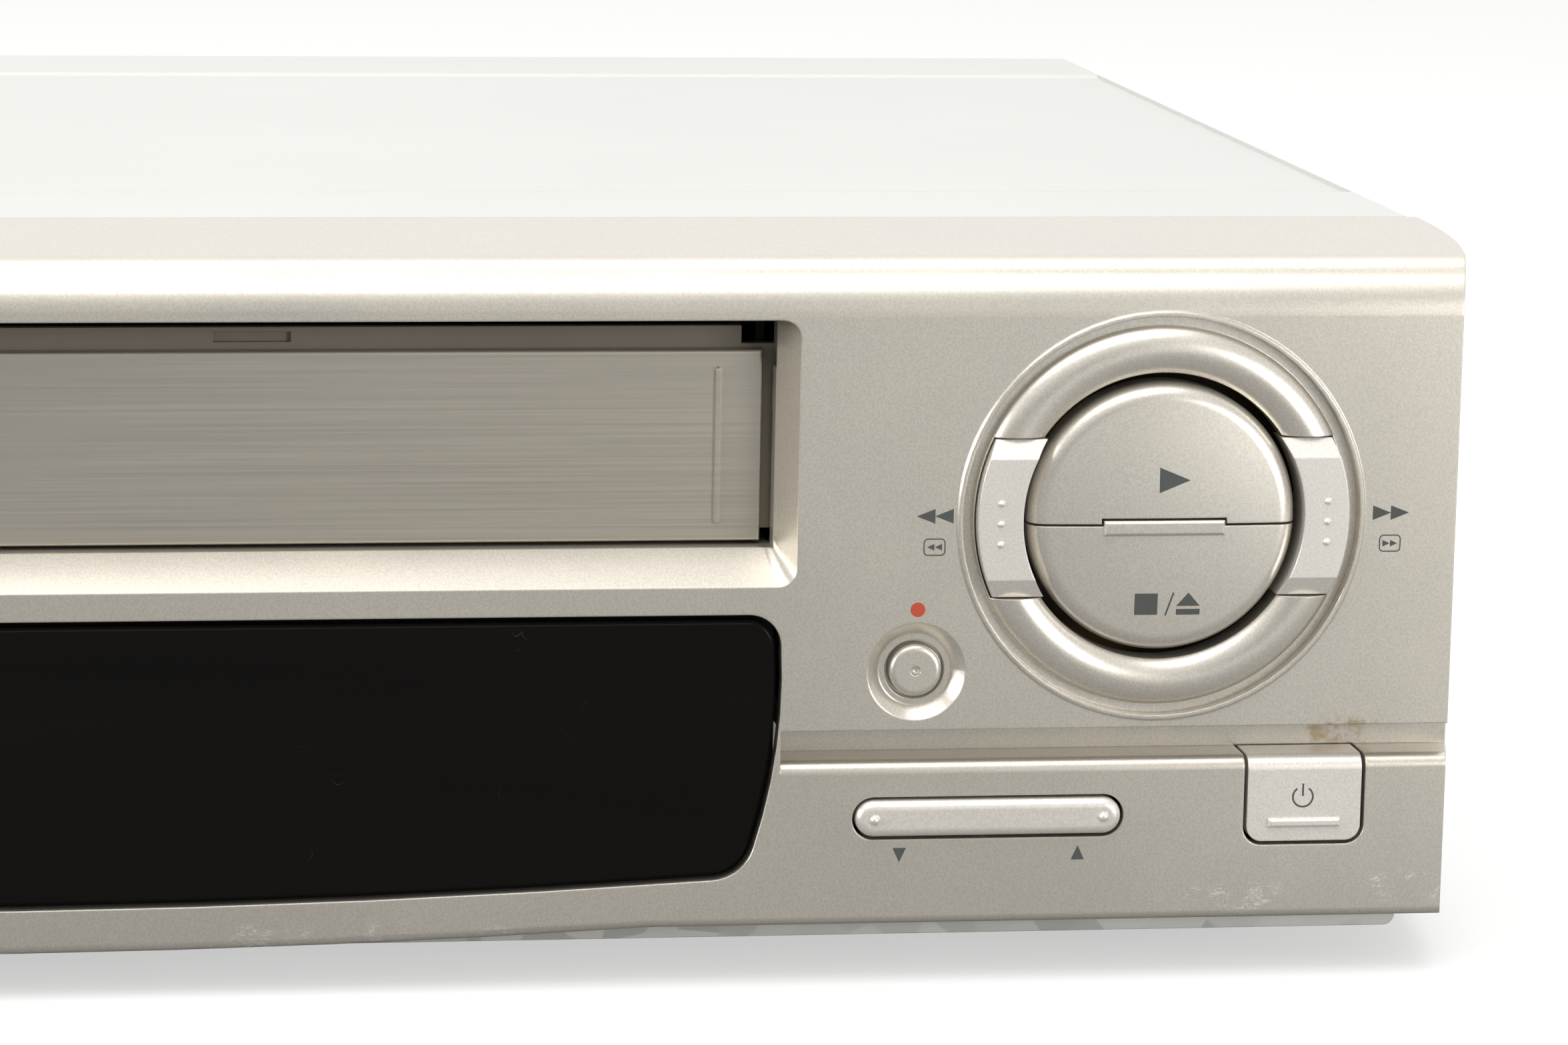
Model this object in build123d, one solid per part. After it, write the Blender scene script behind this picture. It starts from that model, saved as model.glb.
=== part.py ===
from build123d import *
import math
import os

os.makedirs("parts", exist_ok=True)

# A VHS video cassette recorder, in millimetres. X runs across the deck, the front faces -Y and Z is
# up from the ground. The origin lies on the ground under the middle of the overall box. Places are
# given as (x, depth behind the front face, height). CLEARANCES end in _gap.

# ------------------------------------------------------------------ overall
width = 380.0
height = 94.0
body_depth = 266.0              # front face to the back of the cover
button_proud = 2.0              # the ridge of the round button stands this far out of the face
aerial_length = 10.0            # aerial sockets stand this far out behind the cover
overall_depth = button_proud + body_depth + aerial_length
face_y = button_proud - overall_depth / 2
seam_gap = 0.2                  # between neighbouring outer pieces
slide_gap = 0.3                 # between a guided piece and its guide
press_travel = 0.8              # how far a push button goes in

# ------------------------------------------------------------------ sheet metal case
sheet = 1.0                     # top cover and bottom plate
plate_top = 8.0                 # inner floor of the case
foot_radius = 10.0
foot_across = width / 2 - 40.0   # foot centres from the middle
foot_front = 34.0
foot_rear = 236.0
foot_chamfer = 1.0
foot_hollow = (3.5, 4.2)        # radius and depth of the hollow under a foot
cover_bend = 1.5                # outer bend radius along the cover's long edges
cover_low_edge = 7.2
emboss_depth = 0.5              # the shallow panel pressed into the cover
emboss_front = 71.6
emboss_rear = 236.7
emboss_slope = 1.2
cover_lip = 10.0                # lip folded down over the rear panel
lip_screw_inset = 20.0
lip_screw_share = 0.55          # how far down the lip its screws sit
low_screw_across = 110.0
tray_flange = 14.0              # height of the tray's side walls
tray_rear_flange = 7.0
base_half_width = width / 2 - 11.2   # front lip of the bottom plate
base_front = 3.0
base_drop = 2.0
vent_length = 34.0
vent_width = 2.4
vent_pitch = 7.0
vent_count = 9
panel_sheet = 1.2               # rear panel

# ------------------------------------------------------------------ front bezel
wall = 2.5
front_half_width = width / 2 - 6.0
taper_depth = 42.0              # where the tapering sides reach the full width
bezel_depth = 43.7
top_round = 7.0
low_round = 1.2
belly_radius = 1600.0
belly_drop = 2.0                # how far the belly hangs below the bezel's bottom
belly_depth = 2.8
groove_bottom = 29.5
groove_height = 4.1
groove_depth = 6.5
groove_lip_round = 1.6
boss_radius = 2.5
board_front = 17.0              # front face of the board that the bezel's bosses carry
boss_left = -100.0
boss_low = 15.0
boss_middle = 43.0
boss_beside = 4.0               # from a key's opening to the boss beside it
boss_above_dial = 22.0
boss_beside_hinge = 4.6         # from the door's hinge pin to the boss beside it
boss_root = 0.5                 # how far a boss, pin or stem runs into what carries it

# ------------------------------------------------------------------ display window
window_half_width = 95.95
window_top = 48.06
window_side_radius = 72.0
window_side_vertex = 40.0       # height of the widest place
window_low_point = 12.56
window_arc_radius = 1570.0
window_top_corner = 3.4
window_low_corner = 5.0
window_gap = 0.8
window_inset = 0.2
window_flange = 1.2
window_flange_thickness = 1.2
window_edge = 0.4
tube_half_width = 70.0
tube_low = 20.0
tube_high = 42.0
tube_front = 6.0
tube_thickness = 7.0

# ------------------------------------------------------------------ cassette slot and door
slot_half_width = 96.0
slot_low = 56.6
slot_high = 86.6
slot_bevel_side = 2.4
slot_bevel_low = 4.2
slot_bevel_depth = 5.0
slot_tunnel_depth = 8.0
slot_corner = 2.4
slot_rim = 2.0                  # wall round the tunnel
sill_depth = 39.0
sill_thickness = 1.6
door_side_gap = 1.4
door_low_gap = 0.45
door_front = 7.0
door_height = 24.85
door_plate_thickness = 1.6
door_flap_thickness = 1.4
door_edge = 0.5
door_strip_half_width = 92.0
door_strip_top = 84.7
door_strip_low = 82.4
door_rib_inset = 5.7            # rib centre from the end of the door plate
door_rib_width = 0.7
door_rib_proud = 0.35
door_rib_margin = 2.3
hinge_depth = 7.6
hinge_height = 84.0
hinge_pin_radius = 1.2
hinge_bore_gap = 0.05
arm_inner = slot_half_width + 0.4
arm_thickness = 1.8
lug_thickness = 2.5
hinge_pin_end = arm_inner + 9.0
spring_radius = 2.3
spring_length = 4.0
notch = (24.8, 34.6)            # the latch notch in the strip above the door, across
notch_depth = 0.6
notch_low = 0.4
notch_high = 0.6
arm_below_hinge = 3.6
arm_above_hinge = 1.5
arm_before_hinge = 0.4

# ------------------------------------------------------------------ round control cluster
free_front = front_half_width - window_half_width    # the keys share the front beside the window
dial_x = window_half_width + 0.56161 * free_front
dial_z = 61.1
dial_radius = 25.9
dial_lip = 0.7
dial_lip_proud = 0.3
dial_lip_chamfer = 0.21
ring_outer = 24.5
ring_inner = 18.6
ring_proud = 1.0
ring_edge_depth = 0.4
ring_trough = 1.3
ring_rear = 4.0
ring_flange = 1.0
arc_button_half_height = 10.2
arc_button_outer = 24.1
arc_button_inner = 18.3
arc_button_proud = 1.6
arc_button_bevel = (2.4, 1.3)     # height and depth of the sloping ends
pip_radius = 0.6
small_pip_radius = 0.39
pip_pitch = 2.65
pip_shift = -0.5                # of the row of three, from the dial's centre
centre_radius = 17.4
centre_flat_radius = 15.0
centre_proud = 1.6
centre_sag = 0.5                # how much the flat falls towards its rim
centre_rear = 4.2
split_height = -0.8             # the split between the halves, from the dial's centre
split_gap = 0.3
ridge_length = 15.7
ridge_height = 1.9
ridge_rise = 0.6                # how far the ridge reaches above the split
ridge_edge = 0.3
stem_radius = 1.5

# ------------------------------------------------------------------ other keys
record_x = dial_x - 31.34
record_z = dial_z - 19.85
record_dish = 6.35
record_dish_floor = 4.7
record_dish_depth = 1.5
record_radius = 3.4
record_gap = 0.45
record_flange = 1.0
record_dimple = 0.6
record_front = 0.3
record_edge = 0.8
rocker_x = window_half_width + 0.31743 * free_front
rocker_z = 22.07
rocker_length = 34.6
rocker_height = 4.8
rocker_gap = 0.4
rocker_proud = 0.9
rocker_thickness = 4.3
rocker_pivot_depth = 6.0
rocker_pin_radius = 1.0
rocker_pin_half_length = 5.0
rocker_stem = 12.0              # stems from the pivot
rocker_lug_half = 2.2
rocker_edge = 1.2
power_x = window_half_width + 0.78876 * free_front
power_width = 15.0
power_low = 18.27
power_corner = 2.0
power_bend = 1.8
power_gap = 0.5
power_shell = 2.2
power_bar_width = 9.5
power_bar_z = 20.7
power_bar_height = 1.1
power_bar_proud = 0.5
switch_size = 6.0
switch_height = 4.0
plunger_radius = 1.7
plunger_height = 1.0
press_gap = 0.1                 # left between a stem and its plunger at full travel

# ------------------------------------------------------------------ boards and supply
board_thickness = 1.6
board_standoff = 6.0
board_half_width = width / 2 - 6.0
board_front_edge = 48.0
board_rear_edge = 262.2
standoff_radius = 4.0
deck_post_radius = 4.0
post_hole_gap = 1.0
supply_x = 34.0 - board_half_width   # the mains parts keep together near the left side
transformer_at = (supply_x, 165.0)
transformer_core = (36.0, 30.0, 30.0)
transformer_foot = 3.0
winding_round = 3.0
can_round = 0.8
# capacitor cans: across from the board's left edge, depth, radius, height
power_cans = ((16.0, 210.0, 9.0, 32.0), (38.0, 214.0, 6.0, 24.0), (59.0, 208.0, 5.0, 18.0),
              (14.0, 125.0, 8.0, 26.0), (56.0, 186.0, 4.0, 14.0))
# chips: side of the board, across from that edge, depth, width, length
board_chips = ((1, 44.0, 92.0, 26.0, 14.0), (1, 32.0, 138.0, 18.0, 18.0), (1, 52.0, 176.0, 22.0, 10.0),
               (-1, 44.0, 84.0, 16.0, 12.0), (1, 16.0, 205.0, 12.0, 12.0))
chip_height = 3.2
front_board_left = -104.0
front_board_beyond = 8.0        # past the power key
front_board_tower = 40.0        # left of the dial
front_board_lift = 1.0          # above the bezel's floor
tube_edge = 1.0
tube_mount_inset = (4.0, 2.0)
tuner_right = width / 2 - 40.0
tuner_left = tuner_right - 80.0
tuner_front = 226.0
tuner_top = 50.0
tuner_corner = 1.2
tuner_lid = (3.0, 0.6)          # inset and height of the lid's step
aerial_radius = 4.7
aerial_at = (tuner_left + 20.0, tuner_left + 50.0)
aerial_height = 34.0
aerial_collar = 1.6             # how far the collar reaches past the thread
aerial_bore = 2.9
aerial_bore_depth = 7.0
aerial_contact = 0.6            # radius of the pin in the bore
aerial_contact_back = 3.0
jack_left = -52.0
jack_right = 32.0
jack_top = 50.0
jack_front = 246.0
jack_across = (-34.0, -10.0, 14.0)
jack_heights = (26.0, 41.0)
jack_radius = 4.15
jack_hole_radius = 1.6
jack_length = 8.0
jack_collar = 5.6
jack_collar_proud = 0.8
jack_hole_depth = 3.0           # behind the panel's back face
jack_edge = 0.8
inlet_x = supply_x
inlet_z = 30.0
inlet_body = (25.0, 17.0, 18.0)
inlet_hollow = (15.5, 9.0)
inlet_depth = 12.0
inlet_pin_radius = 1.2
inlet_pin_pitch = 8.6
inlet_rim = 1.6
inlet_stand_back = 4.0          # the stand under the inlet ends this far before the panel
screw_head_radius = 3.2
screw_head = 1.6
screw_radius = 1.5
screw_reach = 4.0
screw_cross = (3.84, 0.8)       # length and width of the driver's cross

# ------------------------------------------------------------------ tape deck
deck_half_width = 104.0
deck_front = 42.0
deck_rear = 222.0
deck_z = 26.0                   # underside of the deck plate
deck_sheet = 1.4
deck_top = deck_z + deck_sheet
deck_corner = 3.0
cam_pin = 2.0
pinch_pin = 2.0
tension_pin = 1.5
pin_above = 1.0                 # a fixed pin ends this far above the boss that turns on it
reel_cap = 4.0                  # solid top of a reel above its pin
deck_post_across = 98.0
deck_post_front = 56.0
deck_post_rear = 214.0
shaft_gap = 0.05                # radial running clearance of shafts and pins
float_gap = 0.3                 # a turning piece floats this far above its seat

lift_plate_inner = 99.0
lift_plate = 1.2
lift_rear = 160.0
lift_top = 84.0
lift_foot = 3.8
lift_bridge_front = 84.0
lift_bridge_width = 16.0
lift_bridge_z = 86.0
carriage_travel = 58.0
lift_travel = 21.0
track_depth = 76.0              # guide pin of the basket at rest
track_height = 62.0
track_pin_radius = 2.0
track_gap = 0.25
slider_inner = 97.3
slider_plate = 1.4
slider_front = 62.0
slider_rear = 92.0
slider_rail_front = 42.0
slider_rail_rear = 100.0
slider_rail_low = 36.4
slider_rail_height = 4.0
slider_bar_z = 83.2
slider_bar_front = 64.0
slider_bar_width = 8.0
basket_half_width = 96.8
basket_sheet = 1.0
basket_front = 42.0
basket_rear = 84.0
basket_floor = 56.3
basket_ledge_inner = 62.0
basket_top = 81.6
basket_top_front = 54.0
basket_top_rear = 80.0
basket_stop_inner = 80.0
basket_stop_height = 14.0
basket_side_wall = 1.2
lift_gear_radius = 4.0
lift_gear_depth = 97.0
lift_gear_pin = 1.2
lift_gear_stand = (2.0, 6.0, 0.8)    # length, width and reach above the pin of its stand
lift_fold = 0.2                 # how far the folded edges run into their plates

reel_across = 46.05
reel_depth = 84.0
reel_pin_radius = 1.8
reel_flange = 22.0
reel_flange_low = 28.2
reel_flange_top = 33.4
reel_hub = 6.0
reel_top = 46.0
reel_spline = 1.4               # how far the hub's splines stand out
reel_spline_width = 1.6
reel_spline_margin = 2.0
reel_teeth = 60
reel_tooth = 1.2
reel_rim = 3.0
reel_hub_chamfer = 1.5
clutch_depth = 70.0
clutch_radius = 14.0
clutch_shaft = 2.0
clutch_gear = 11.0
idler_gear_radius = 10.6
idler_reach = 22.0
idler_arm_low = 28.2
idler_arm_top = 29.8
idler_gear_low = 30.2
idler_gear_top = 33.2
idler_pin = 1.5
idler_boss = (5.0, 4.0)         # radius round the clutch shaft and under the gear
idler_arm_width = 6.0
idler_pin_above = 0.8
belt_thickness = 1.2
belt_gap = 0.03
belt_low = 21.5
belt_high = 23.5
pulley_low = 20.8
pulley_high = 24.0

capstan_at = (66.0, 148.0)
capstan_radius = 1.5
capstan_top = 62.0
capstan_pulley = 9.0
flywheel_radius = 24.0
flywheel_low = 17.0
flywheel_edge = 0.6
housing_gap = 0.4               # between the pulley and the bearing housing
housing_radius = 14.0
bearing_radius = 5.0
bearing_top = 36.0

drum_depth = 178.0
drum_height = 33.0              # where the drum's axis meets its base
drum_tilt = 5.9
drum_radius = 31.0
lower_drum_height = 14.0
drum_split = 0.3
upper_drum_height = 14.7
drum_base_radius = 30.0
drum_base_inner = 24.5
drum_shaft = 2.5
rotor_radius = 20.0
rotor_low = -14.0
rotor_top = -8.0
rotor_rim = 1.4
stator_radius = 18.0
stator_low = -7.4
stator_hole = 6.0
drum_hole_radius = 24.0
drum_cup = 2.0                  # how far the rotor's rim reaches over the stator
drum_groove = (26.0, 15.0, 3.0)      # outer and inner radius and depth of the ring in the top
head_window = (5.0, 4.0, 4.0)        # notch for each video head

guide_rest = (30.0, 116.0)
guide_loaded = (41.0, 170.0)
rail_width = 12.0
rail_length = 74.0
rail_height = 3.6
rail_slot = 4.0
guide_block = (15.0, 13.0, 3.9)
guide_roller = 3.0
guide_roller_low = 37.0
guide_roller_top = 57.0
guide_pin_lean = 18.0
guide_pin = (1.2, 20.0)         # radius and length of the leaning pin
guide_pin_at = -4.0             # along the carriage, from its middle
guide_roller_at = 3.0
guide_spindle = 1.0
guide_float = 0.1
guide_keel = 0.6                # share of the block's length that runs in the rail's slot
head_half = 4.0
head_round = 1.0
erase_head_top = 54.0
audio_head_top = 56.0
audio_plate = (5.0, 2.0)        # half size and thickness of the audio head's plate
erase_head_at = (-60.0, 150.0)
audio_head_at = (53.5, 160.0)
fixed_posts = ((-68.0, 158.0), (57.0, 146.0))
post_radius = 2.0
post_top = 58.0
tension_pivot = (-56.0, 124.0)
tension_post = (-50.0, 140.0)
tension_level = 31.4
tension_arm = (5.0, 1.4)        # width and thickness
tension_boss = 2.0              # height of its boss above the arm's underside
tension_boss_radius = 3.0
tension_tip = 1.5               # radius of the upright post
pinch_pivot = (88.0, 166.0)
pinch_roller_at = (67.5, 165.75)
pinch_level = 36.6
pinch_roller_radius = 7.0
pinch_roller_edge = 0.6
pinch_roller_under = 3.0        # the roller ends this far under the capstan's top
pinch_arm = (7.0, 2.0)          # width and thickness
pinch_boss = 7.0                # height of its boss above the arm's underside
pinch_boss_radius = 4.0
pinch_spindle = 1.5
cam_at = (-62.0, 196.0)
cam_radius = 14.0
cam_low = 32.6
cam_top = 36.6
cam_teeth = 42
cam_tooth = 1.1
cam_boss = 5.0
cam_track = (9.5, 7.0, 1.4)          # outer and inner radius and depth of its ring groove
worm_radius = 4.0
worm_gap = 0.3
worm_left = -72.0
worm_right = -52.0
worm_core = 2.8
worm_turns = 8
worm_ridge = 0.45               # width of a ridge as a share of the pitch
worm_shaft = 1.0
worm_shaft_in = 5.0             # how far the shaft goes into the motor
worm_shaft_out = 2.0
motor_radius = 7.0
motor_left = -98.0
motor_right = -76.0
motor_edge = 1.0
motor_cradle = (2.0, 5.0)       # inset along the motor and half width of its cradle


# ------------------------------------------------------------------ drawing helpers
def block(x0, x1, d0, d1, z0, z1):
    """A box from its limits across, behind the front face and up."""
    middle = Pos((x0 + x1) / 2, face_y + (d0 + d1) / 2, (z0 + z1) / 2)
    return middle * Box(x1 - x0, d1 - d0, z1 - z0)


def rod_x(depth, z, x0, x1, radius):
    """A round bar across the deck."""
    return Pos((x0 + x1) / 2, face_y + depth, z) * Rot(0, 90, 0) * Cylinder(radius, x1 - x0)


def rod_y(x, z, d0, d1, radius):
    """A round bar from front to back."""
    return Pos(x, face_y + (d0 + d1) / 2, z) * Rot(90, 0, 0) * Cylinder(radius, d1 - d0)


def rod_z(x, depth, z0, z1, radius):
    """An upright round bar."""
    return Pos(x, face_y + depth, (z0 + z1) / 2) * Cylinder(radius, z1 - z0)


def front_cut(face, d0, d1):
    """A face drawn in the front view, pushed from depth d0 to d1."""
    return Pos(0, face_y + d1, 0) * extrude(Plane.XZ * face, amount=d1 - d0)


def side_cut(face, x0, x1):
    """A face drawn in the side view as (depth, height), pushed from x0 to x1."""
    return Pos(x0, face_y, 0) * extrude(Plane.YZ * face, amount=x1 - x0)


def plan_cut(face, z0, z1):
    """A face drawn in plan as (x, depth), pushed from z0 to z1."""
    return Pos(0, face_y, z0) * extrude(face, amount=z1 - z0)


def turned(face, x, z):
    """A face drawn as (radius, depth), turned about an axis that runs front to back."""
    return Pos(x, face_y, z) * revolve(face, Axis.Y)


def polygon(*points):
    return make_face(Polyline(*points, close=True))


def both_sides(shape):
    return shape + mirror(shape, about=Plane.YZ)


def toothed_disc(radius, teeth, tooth_depth):
    """Gear outline with straight-sided teeth, centred on the origin."""
    points = []
    step = 2 * math.pi / teeth
    for tooth in range(teeth):
        for share, reach in ((0.0, radius - tooth_depth), (0.3, radius - tooth_depth),
                             (0.45, radius), (0.75, radius), (0.9, radius - tooth_depth)):
            angle = (tooth + share) * step
            points.append((reach * math.cos(angle), reach * math.sin(angle)))
    return polygon(*points)


def toward(start, end):
    """Length and heading in degrees of the line between two plan points."""
    across = end[0] - start[0]
    back = end[1] - start[1]
    return math.hypot(across, back), math.degrees(math.atan2(back, across))


# ------------------------------------------------------------------ case
def make_top_cover():
    front = bezel_depth + seam_gap
    half = width / 2
    outside = block(-half, half, front, body_depth, cover_low_edge, height)
    long_edges = outside.edges().filter_by(Axis.Y).group_by(Axis.Z)[-1]
    outside = fillet(long_edges, cover_bend)
    inside = block(-half + sheet, half - sheet, front - 1, body_depth - sheet, 0, height - sheet)
    inner_edges = inside.edges().filter_by(Axis.Y).group_by(Axis.Z)[-1]
    inside = fillet(inner_edges, cover_bend - sheet)
    top = height
    low = height - emboss_depth
    pressed = polygon((emboss_front, top), (emboss_front + emboss_slope, low),
                      (emboss_rear - emboss_slope, low), (emboss_rear, top))
    reach = half - cover_bend
    rear_opening = block(-half + sheet, half - sheet, body_depth - 2 * sheet, body_depth + 1,
                         0, height - cover_lip)
    shell = outside - inside - rear_opening
    shell += Pos(0, 0, -sheet) * side_cut(pressed, -reach, reach)
    shell -= side_cut(pressed, -reach, reach)
    for x in lip_screw_places():
        shell -= rod_y(x, lip_screw_height(), body_depth - 2 * sheet, body_depth + 1, screw_radius)
    return shell


def lip_screw_places():
    reach = width / 2 - lip_screw_inset
    return (-reach, 0.0, reach)


def lip_screw_height():
    return height - cover_lip * lip_screw_share


def low_screw_places():
    return (-low_screw_across, low_screw_across)


def low_screw_height():
    return plate_top + tray_rear_flange / 2


def panel_back():
    return body_depth - sheet


def panel_front():
    return panel_back() - panel_sheet


def standoff_places():
    across = board_half_width - 2 * standoff_radius
    back = board_rear_edge - 2 * standoff_radius
    front = board_front_edge + 2 * standoff_radius
    return ((-across, front), (across, front), (-across, back), (across, back))


def make_bottom_plate():
    low = plate_top - sheet
    inner_half = width / 2 - sheet
    plate = block(-base_half_width, base_half_width, base_front, bezel_depth + 2 * sheet,
                  low, plate_top)
    plate += block(-inner_half, inner_half, bezel_depth + seam_gap, panel_front(), low, plate_top)
    hem = polygon((-base_half_width, plate_top), (base_half_width, plate_top),
                  (base_half_width, plate_top - base_drop),
                  (-base_half_width, plate_top - base_drop))
    hem = fillet(hem.vertices().group_by(Axis.Y)[0], base_drop * 0.7)
    plate += front_cut(hem, base_front, base_front + sheet)
    plate += both_sides(block(inner_half - sheet, inner_half, bezel_depth + seam_gap,
                              panel_front(), plate_top, plate_top + tray_flange))
    plate += block(-inner_half + sheet, inner_half - sheet, panel_front() - sheet, panel_front(),
                   plate_top, plate_top + tray_rear_flange)
    for x, depth in standoff_places():
        plate += rod_z(x, depth, plate_top, plate_top + board_standoff, standoff_radius)
    first_vent = transformer_at[1] - vent_pitch * (vent_count - 1) / 2
    for slot in range(vent_count):
        depth = first_vent + slot * vent_pitch
        x = transformer_at[0]
        plate -= block(x - vent_length / 2, x + vent_length / 2, depth - vent_width / 2,
                       depth + vent_width / 2, low - 1, plate_top + 1)
    for x in low_screw_places():
        plate -= rod_y(x, low_screw_height(), panel_front() - 2 * sheet, panel_front() + 1,
                       screw_radius)
    return plate


def make_rear_panel():
    clear = sheet + slide_gap
    panel = block(-width / 2 + 2 * sheet + slide_gap, width / 2 - 2 * sheet - slide_gap,
                  panel_front(), panel_back(), plate_top - sheet, height - clear)
    cut = (panel_front() - 1, panel_back() + 1)
    for x in aerial_at:
        panel -= rod_y(x, aerial_height, *cut, aerial_radius)
    for x in jack_across:
        for z in jack_heights:
            panel -= rod_y(x, z, *cut, jack_collar)
    panel -= block(inlet_x - inlet_hollow[0] / 2 - inlet_rim, inlet_x + inlet_hollow[0] / 2 + inlet_rim,
                   *cut, inlet_z - inlet_hollow[1] / 2 - inlet_rim,
                   inlet_z + inlet_hollow[1] / 2 + inlet_rim)
    for x in lip_screw_places():
        panel -= rod_y(x, lip_screw_height(), *cut, screw_radius)
    for x in low_screw_places():
        panel -= rod_y(x, low_screw_height(), *cut, screw_radius)
    return panel


def make_feet():
    top = plate_top - sheet
    feet = []
    for x in (-foot_across, foot_across):
        for depth in (foot_front, foot_rear):
            foot = rod_z(x, depth, 0, top, foot_radius)
            foot = chamfer(foot.edges().group_by(Axis.Z)[0], foot_chamfer)
            foot -= rod_z(x, depth, -1, foot_hollow[1], foot_hollow[0])
            feet.append(foot)
    return Compound(feet)


def make_cover_screws():
    screws = []
    places = [(x, lip_screw_height(), body_depth) for x in lip_screw_places()]
    places += [(x, low_screw_height(), panel_back()) for x in low_screw_places()]
    for x, z, seat in places:
        screw = rod_y(x, z, seat, seat + screw_head, screw_head_radius)
        screw = fillet(screw.edges().group_by(Axis.Y)[-1], screw_head * 0.45)
        screw += rod_y(x, z, seat - screw_reach, seat, screw_radius)
        cut = (seat + screw_head / 2, seat + screw_head + 1)
        for long, slim in (screw_cross, screw_cross[::-1]):
            screw -= block(x - long / 2, x + long / 2, *cut, z - slim / 2, z + slim / 2)
        screws.append(screw)
    return Compound(screws)


# ------------------------------------------------------------------ front bezel
def bezel_form(inset, low, back):
    """The bezel's outer form, or with an inset the form of its cavity."""
    half_front = front_half_width - inset
    half_side = width / 2 - inset
    run = taper_depth - inset
    step = half_side - half_front
    radius = (run**2 + step**2) / (2 * step)
    turn = math.asin(run / radius) / 2
    middle = (half_side - radius * (1 - math.cos(turn)), taper_depth - radius * math.sin(turn))
    right = ThreePointArc((half_front, inset), middle, (half_side, taper_depth))
    left = ThreePointArc((-half_side, taper_depth), (-middle[0], middle[1]), (-half_front, inset))
    outline = (Line((-half_front, inset), (half_front, inset)) + right
               + Line((half_side, taper_depth), (half_side, back))
               + Line((half_side, back), (-half_side, back))
               + Line((-half_side, back), (-half_side, taper_depth)) + left)
    body = plan_cut(make_face(outline), low, height - inset)
    arc = top_round - inset
    corner = math.sqrt(0.5)
    top = height - inset
    round_over = ThreePointArc((inset, height - top_round),
                               (top_round - arc * corner, height - top_round + arc * corner),
                               (top_round, top))
    low_arc = ThreePointArc((inset + low_round, low),
                            (inset + low_round * (1 - corner), low + low_round * (1 - corner)),
                            (inset, low + low_round))
    profile = (low_arc + Line((inset, low + low_round), (inset, height - top_round)) + round_over
               + Line((top_round, top), (back, top)) + Line((back, top), (back, low))
               + Line((back, low), (inset + low_round, low)))
    body &= side_cut(make_face(profile), -width, width)
    return body


def window_face():
    """The display window's outline in the front view."""
    side_centre = window_half_width - window_side_radius

    def side_x(z):
        return side_centre + math.sqrt(window_side_radius**2 - (z - window_side_vertex)**2)

    arc_centre = window_low_point + window_arc_radius
    low_x = window_half_width
    for _ in range(12):
        low_z = arc_centre - math.sqrt(window_arc_radius**2 - low_x**2)
        low_x = side_x(low_z)
    top_x = side_x(window_top)
    right = ThreePointArc((top_x, window_top), (window_half_width, window_side_vertex), (low_x, low_z))
    left = ThreePointArc((-low_x, low_z), (-window_half_width, window_side_vertex),
                         (-top_x, window_top))
    low = ThreePointArc((low_x, low_z), (0, window_low_point), (-low_x, low_z))
    face = make_face(Line((-top_x, window_top), (top_x, window_top)) + right + low + left)
    low_corners = face.vertices().group_by(Axis.Y)[0]
    face = fillet(low_corners, window_low_corner)
    top_corners = face.vertices().group_by(Axis.Y)[-1]
    return fillet(top_corners, window_top_corner)


def slot_section(side, low, corner, depth):
    """One section of the cassette slot's bevel, as a face at a depth."""
    width_here = 2 * (slot_half_width + side)
    tall = slot_high - slot_low + low
    middle = Pos(0, face_y + depth, slot_high - tall / 2)
    return middle * (Plane.XZ * RectangleRounded(width_here, tall, corner))


def make_slot_frame():
    """The tunnel round the cassette slot, without its opening."""
    side = slot_half_width + slot_bevel_side + slot_rim
    frame = block(-side, side, boss_root, slot_tunnel_depth, slot_low - slot_bevel_low - slot_rim,
                  slot_high + slot_rim)
    frame += block(-slot_half_width, slot_half_width, slot_tunnel_depth, sill_depth,
                   slot_low - sill_thickness, slot_low)
    lug_inner = arm_inner + arm_thickness + slide_gap
    lug = block(lug_inner, lug_inner + lug_thickness, wall, hinge_depth + 2 * hinge_pin_radius,
                hinge_height - 3 * hinge_pin_radius, hinge_height + 3 * hinge_pin_radius)
    return frame + both_sides(lug)


def slot_opening():
    """Everything that is cut away for the cassette and for the door's arms."""
    # the mouth is a little wider at the face than at the end of the bevel
    mouth = loft([slot_section(slot_bevel_side, slot_bevel_low, slot_corner, 0),
                  slot_section(0, 0, slot_corner / 2, slot_bevel_depth)])
    mouth += Pos(0, -1, 0) * extrude(
        slot_section(slot_bevel_side, slot_bevel_low, slot_corner, 0), amount=1, dir=(0, 1, 0))
    mouth += block(-slot_half_width, slot_half_width, slot_bevel_depth - 0.5, slot_tunnel_depth + 1,
                   slot_low, slot_high)
    mouth += block(-slot_half_width, slot_half_width, slot_bevel_depth, slot_tunnel_depth + 1,
                   slot_high - 1, slot_high + slot_rim + 1)
    arm_pocket = block(slot_half_width - 1, arm_inner + arm_thickness + slide_gap,
                       slot_bevel_depth, slot_tunnel_depth + 3,
                       hinge_height - arm_below_hinge - 2 * slide_gap, slot_high + slot_rim + 1)
    return mouth + both_sides(arm_pocket)


def groove_cutter():
    low = groove_bottom
    round_ = groove_lip_round
    corner = math.sqrt(0.5)
    lip = ThreePointArc((round_, low), (round_ * (1 - corner), low - round_ * (1 - corner)),
                        (0, low - round_))
    face = make_face(lip + Line((0, low - round_), (-1, low - round_))
                     + Line((-1, low - round_), (-1, low + groove_height))
                     + Line((-1, low + groove_height), (groove_depth, low + groove_height))
                     + Line((groove_depth, low + groove_height), (groove_depth, low))
                     + Line((groove_depth, low), (round_, low)))
    return both_sides(side_cut(face, groove_start(), width))


def groove_start():
    return window_half_width + window_gap


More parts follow.
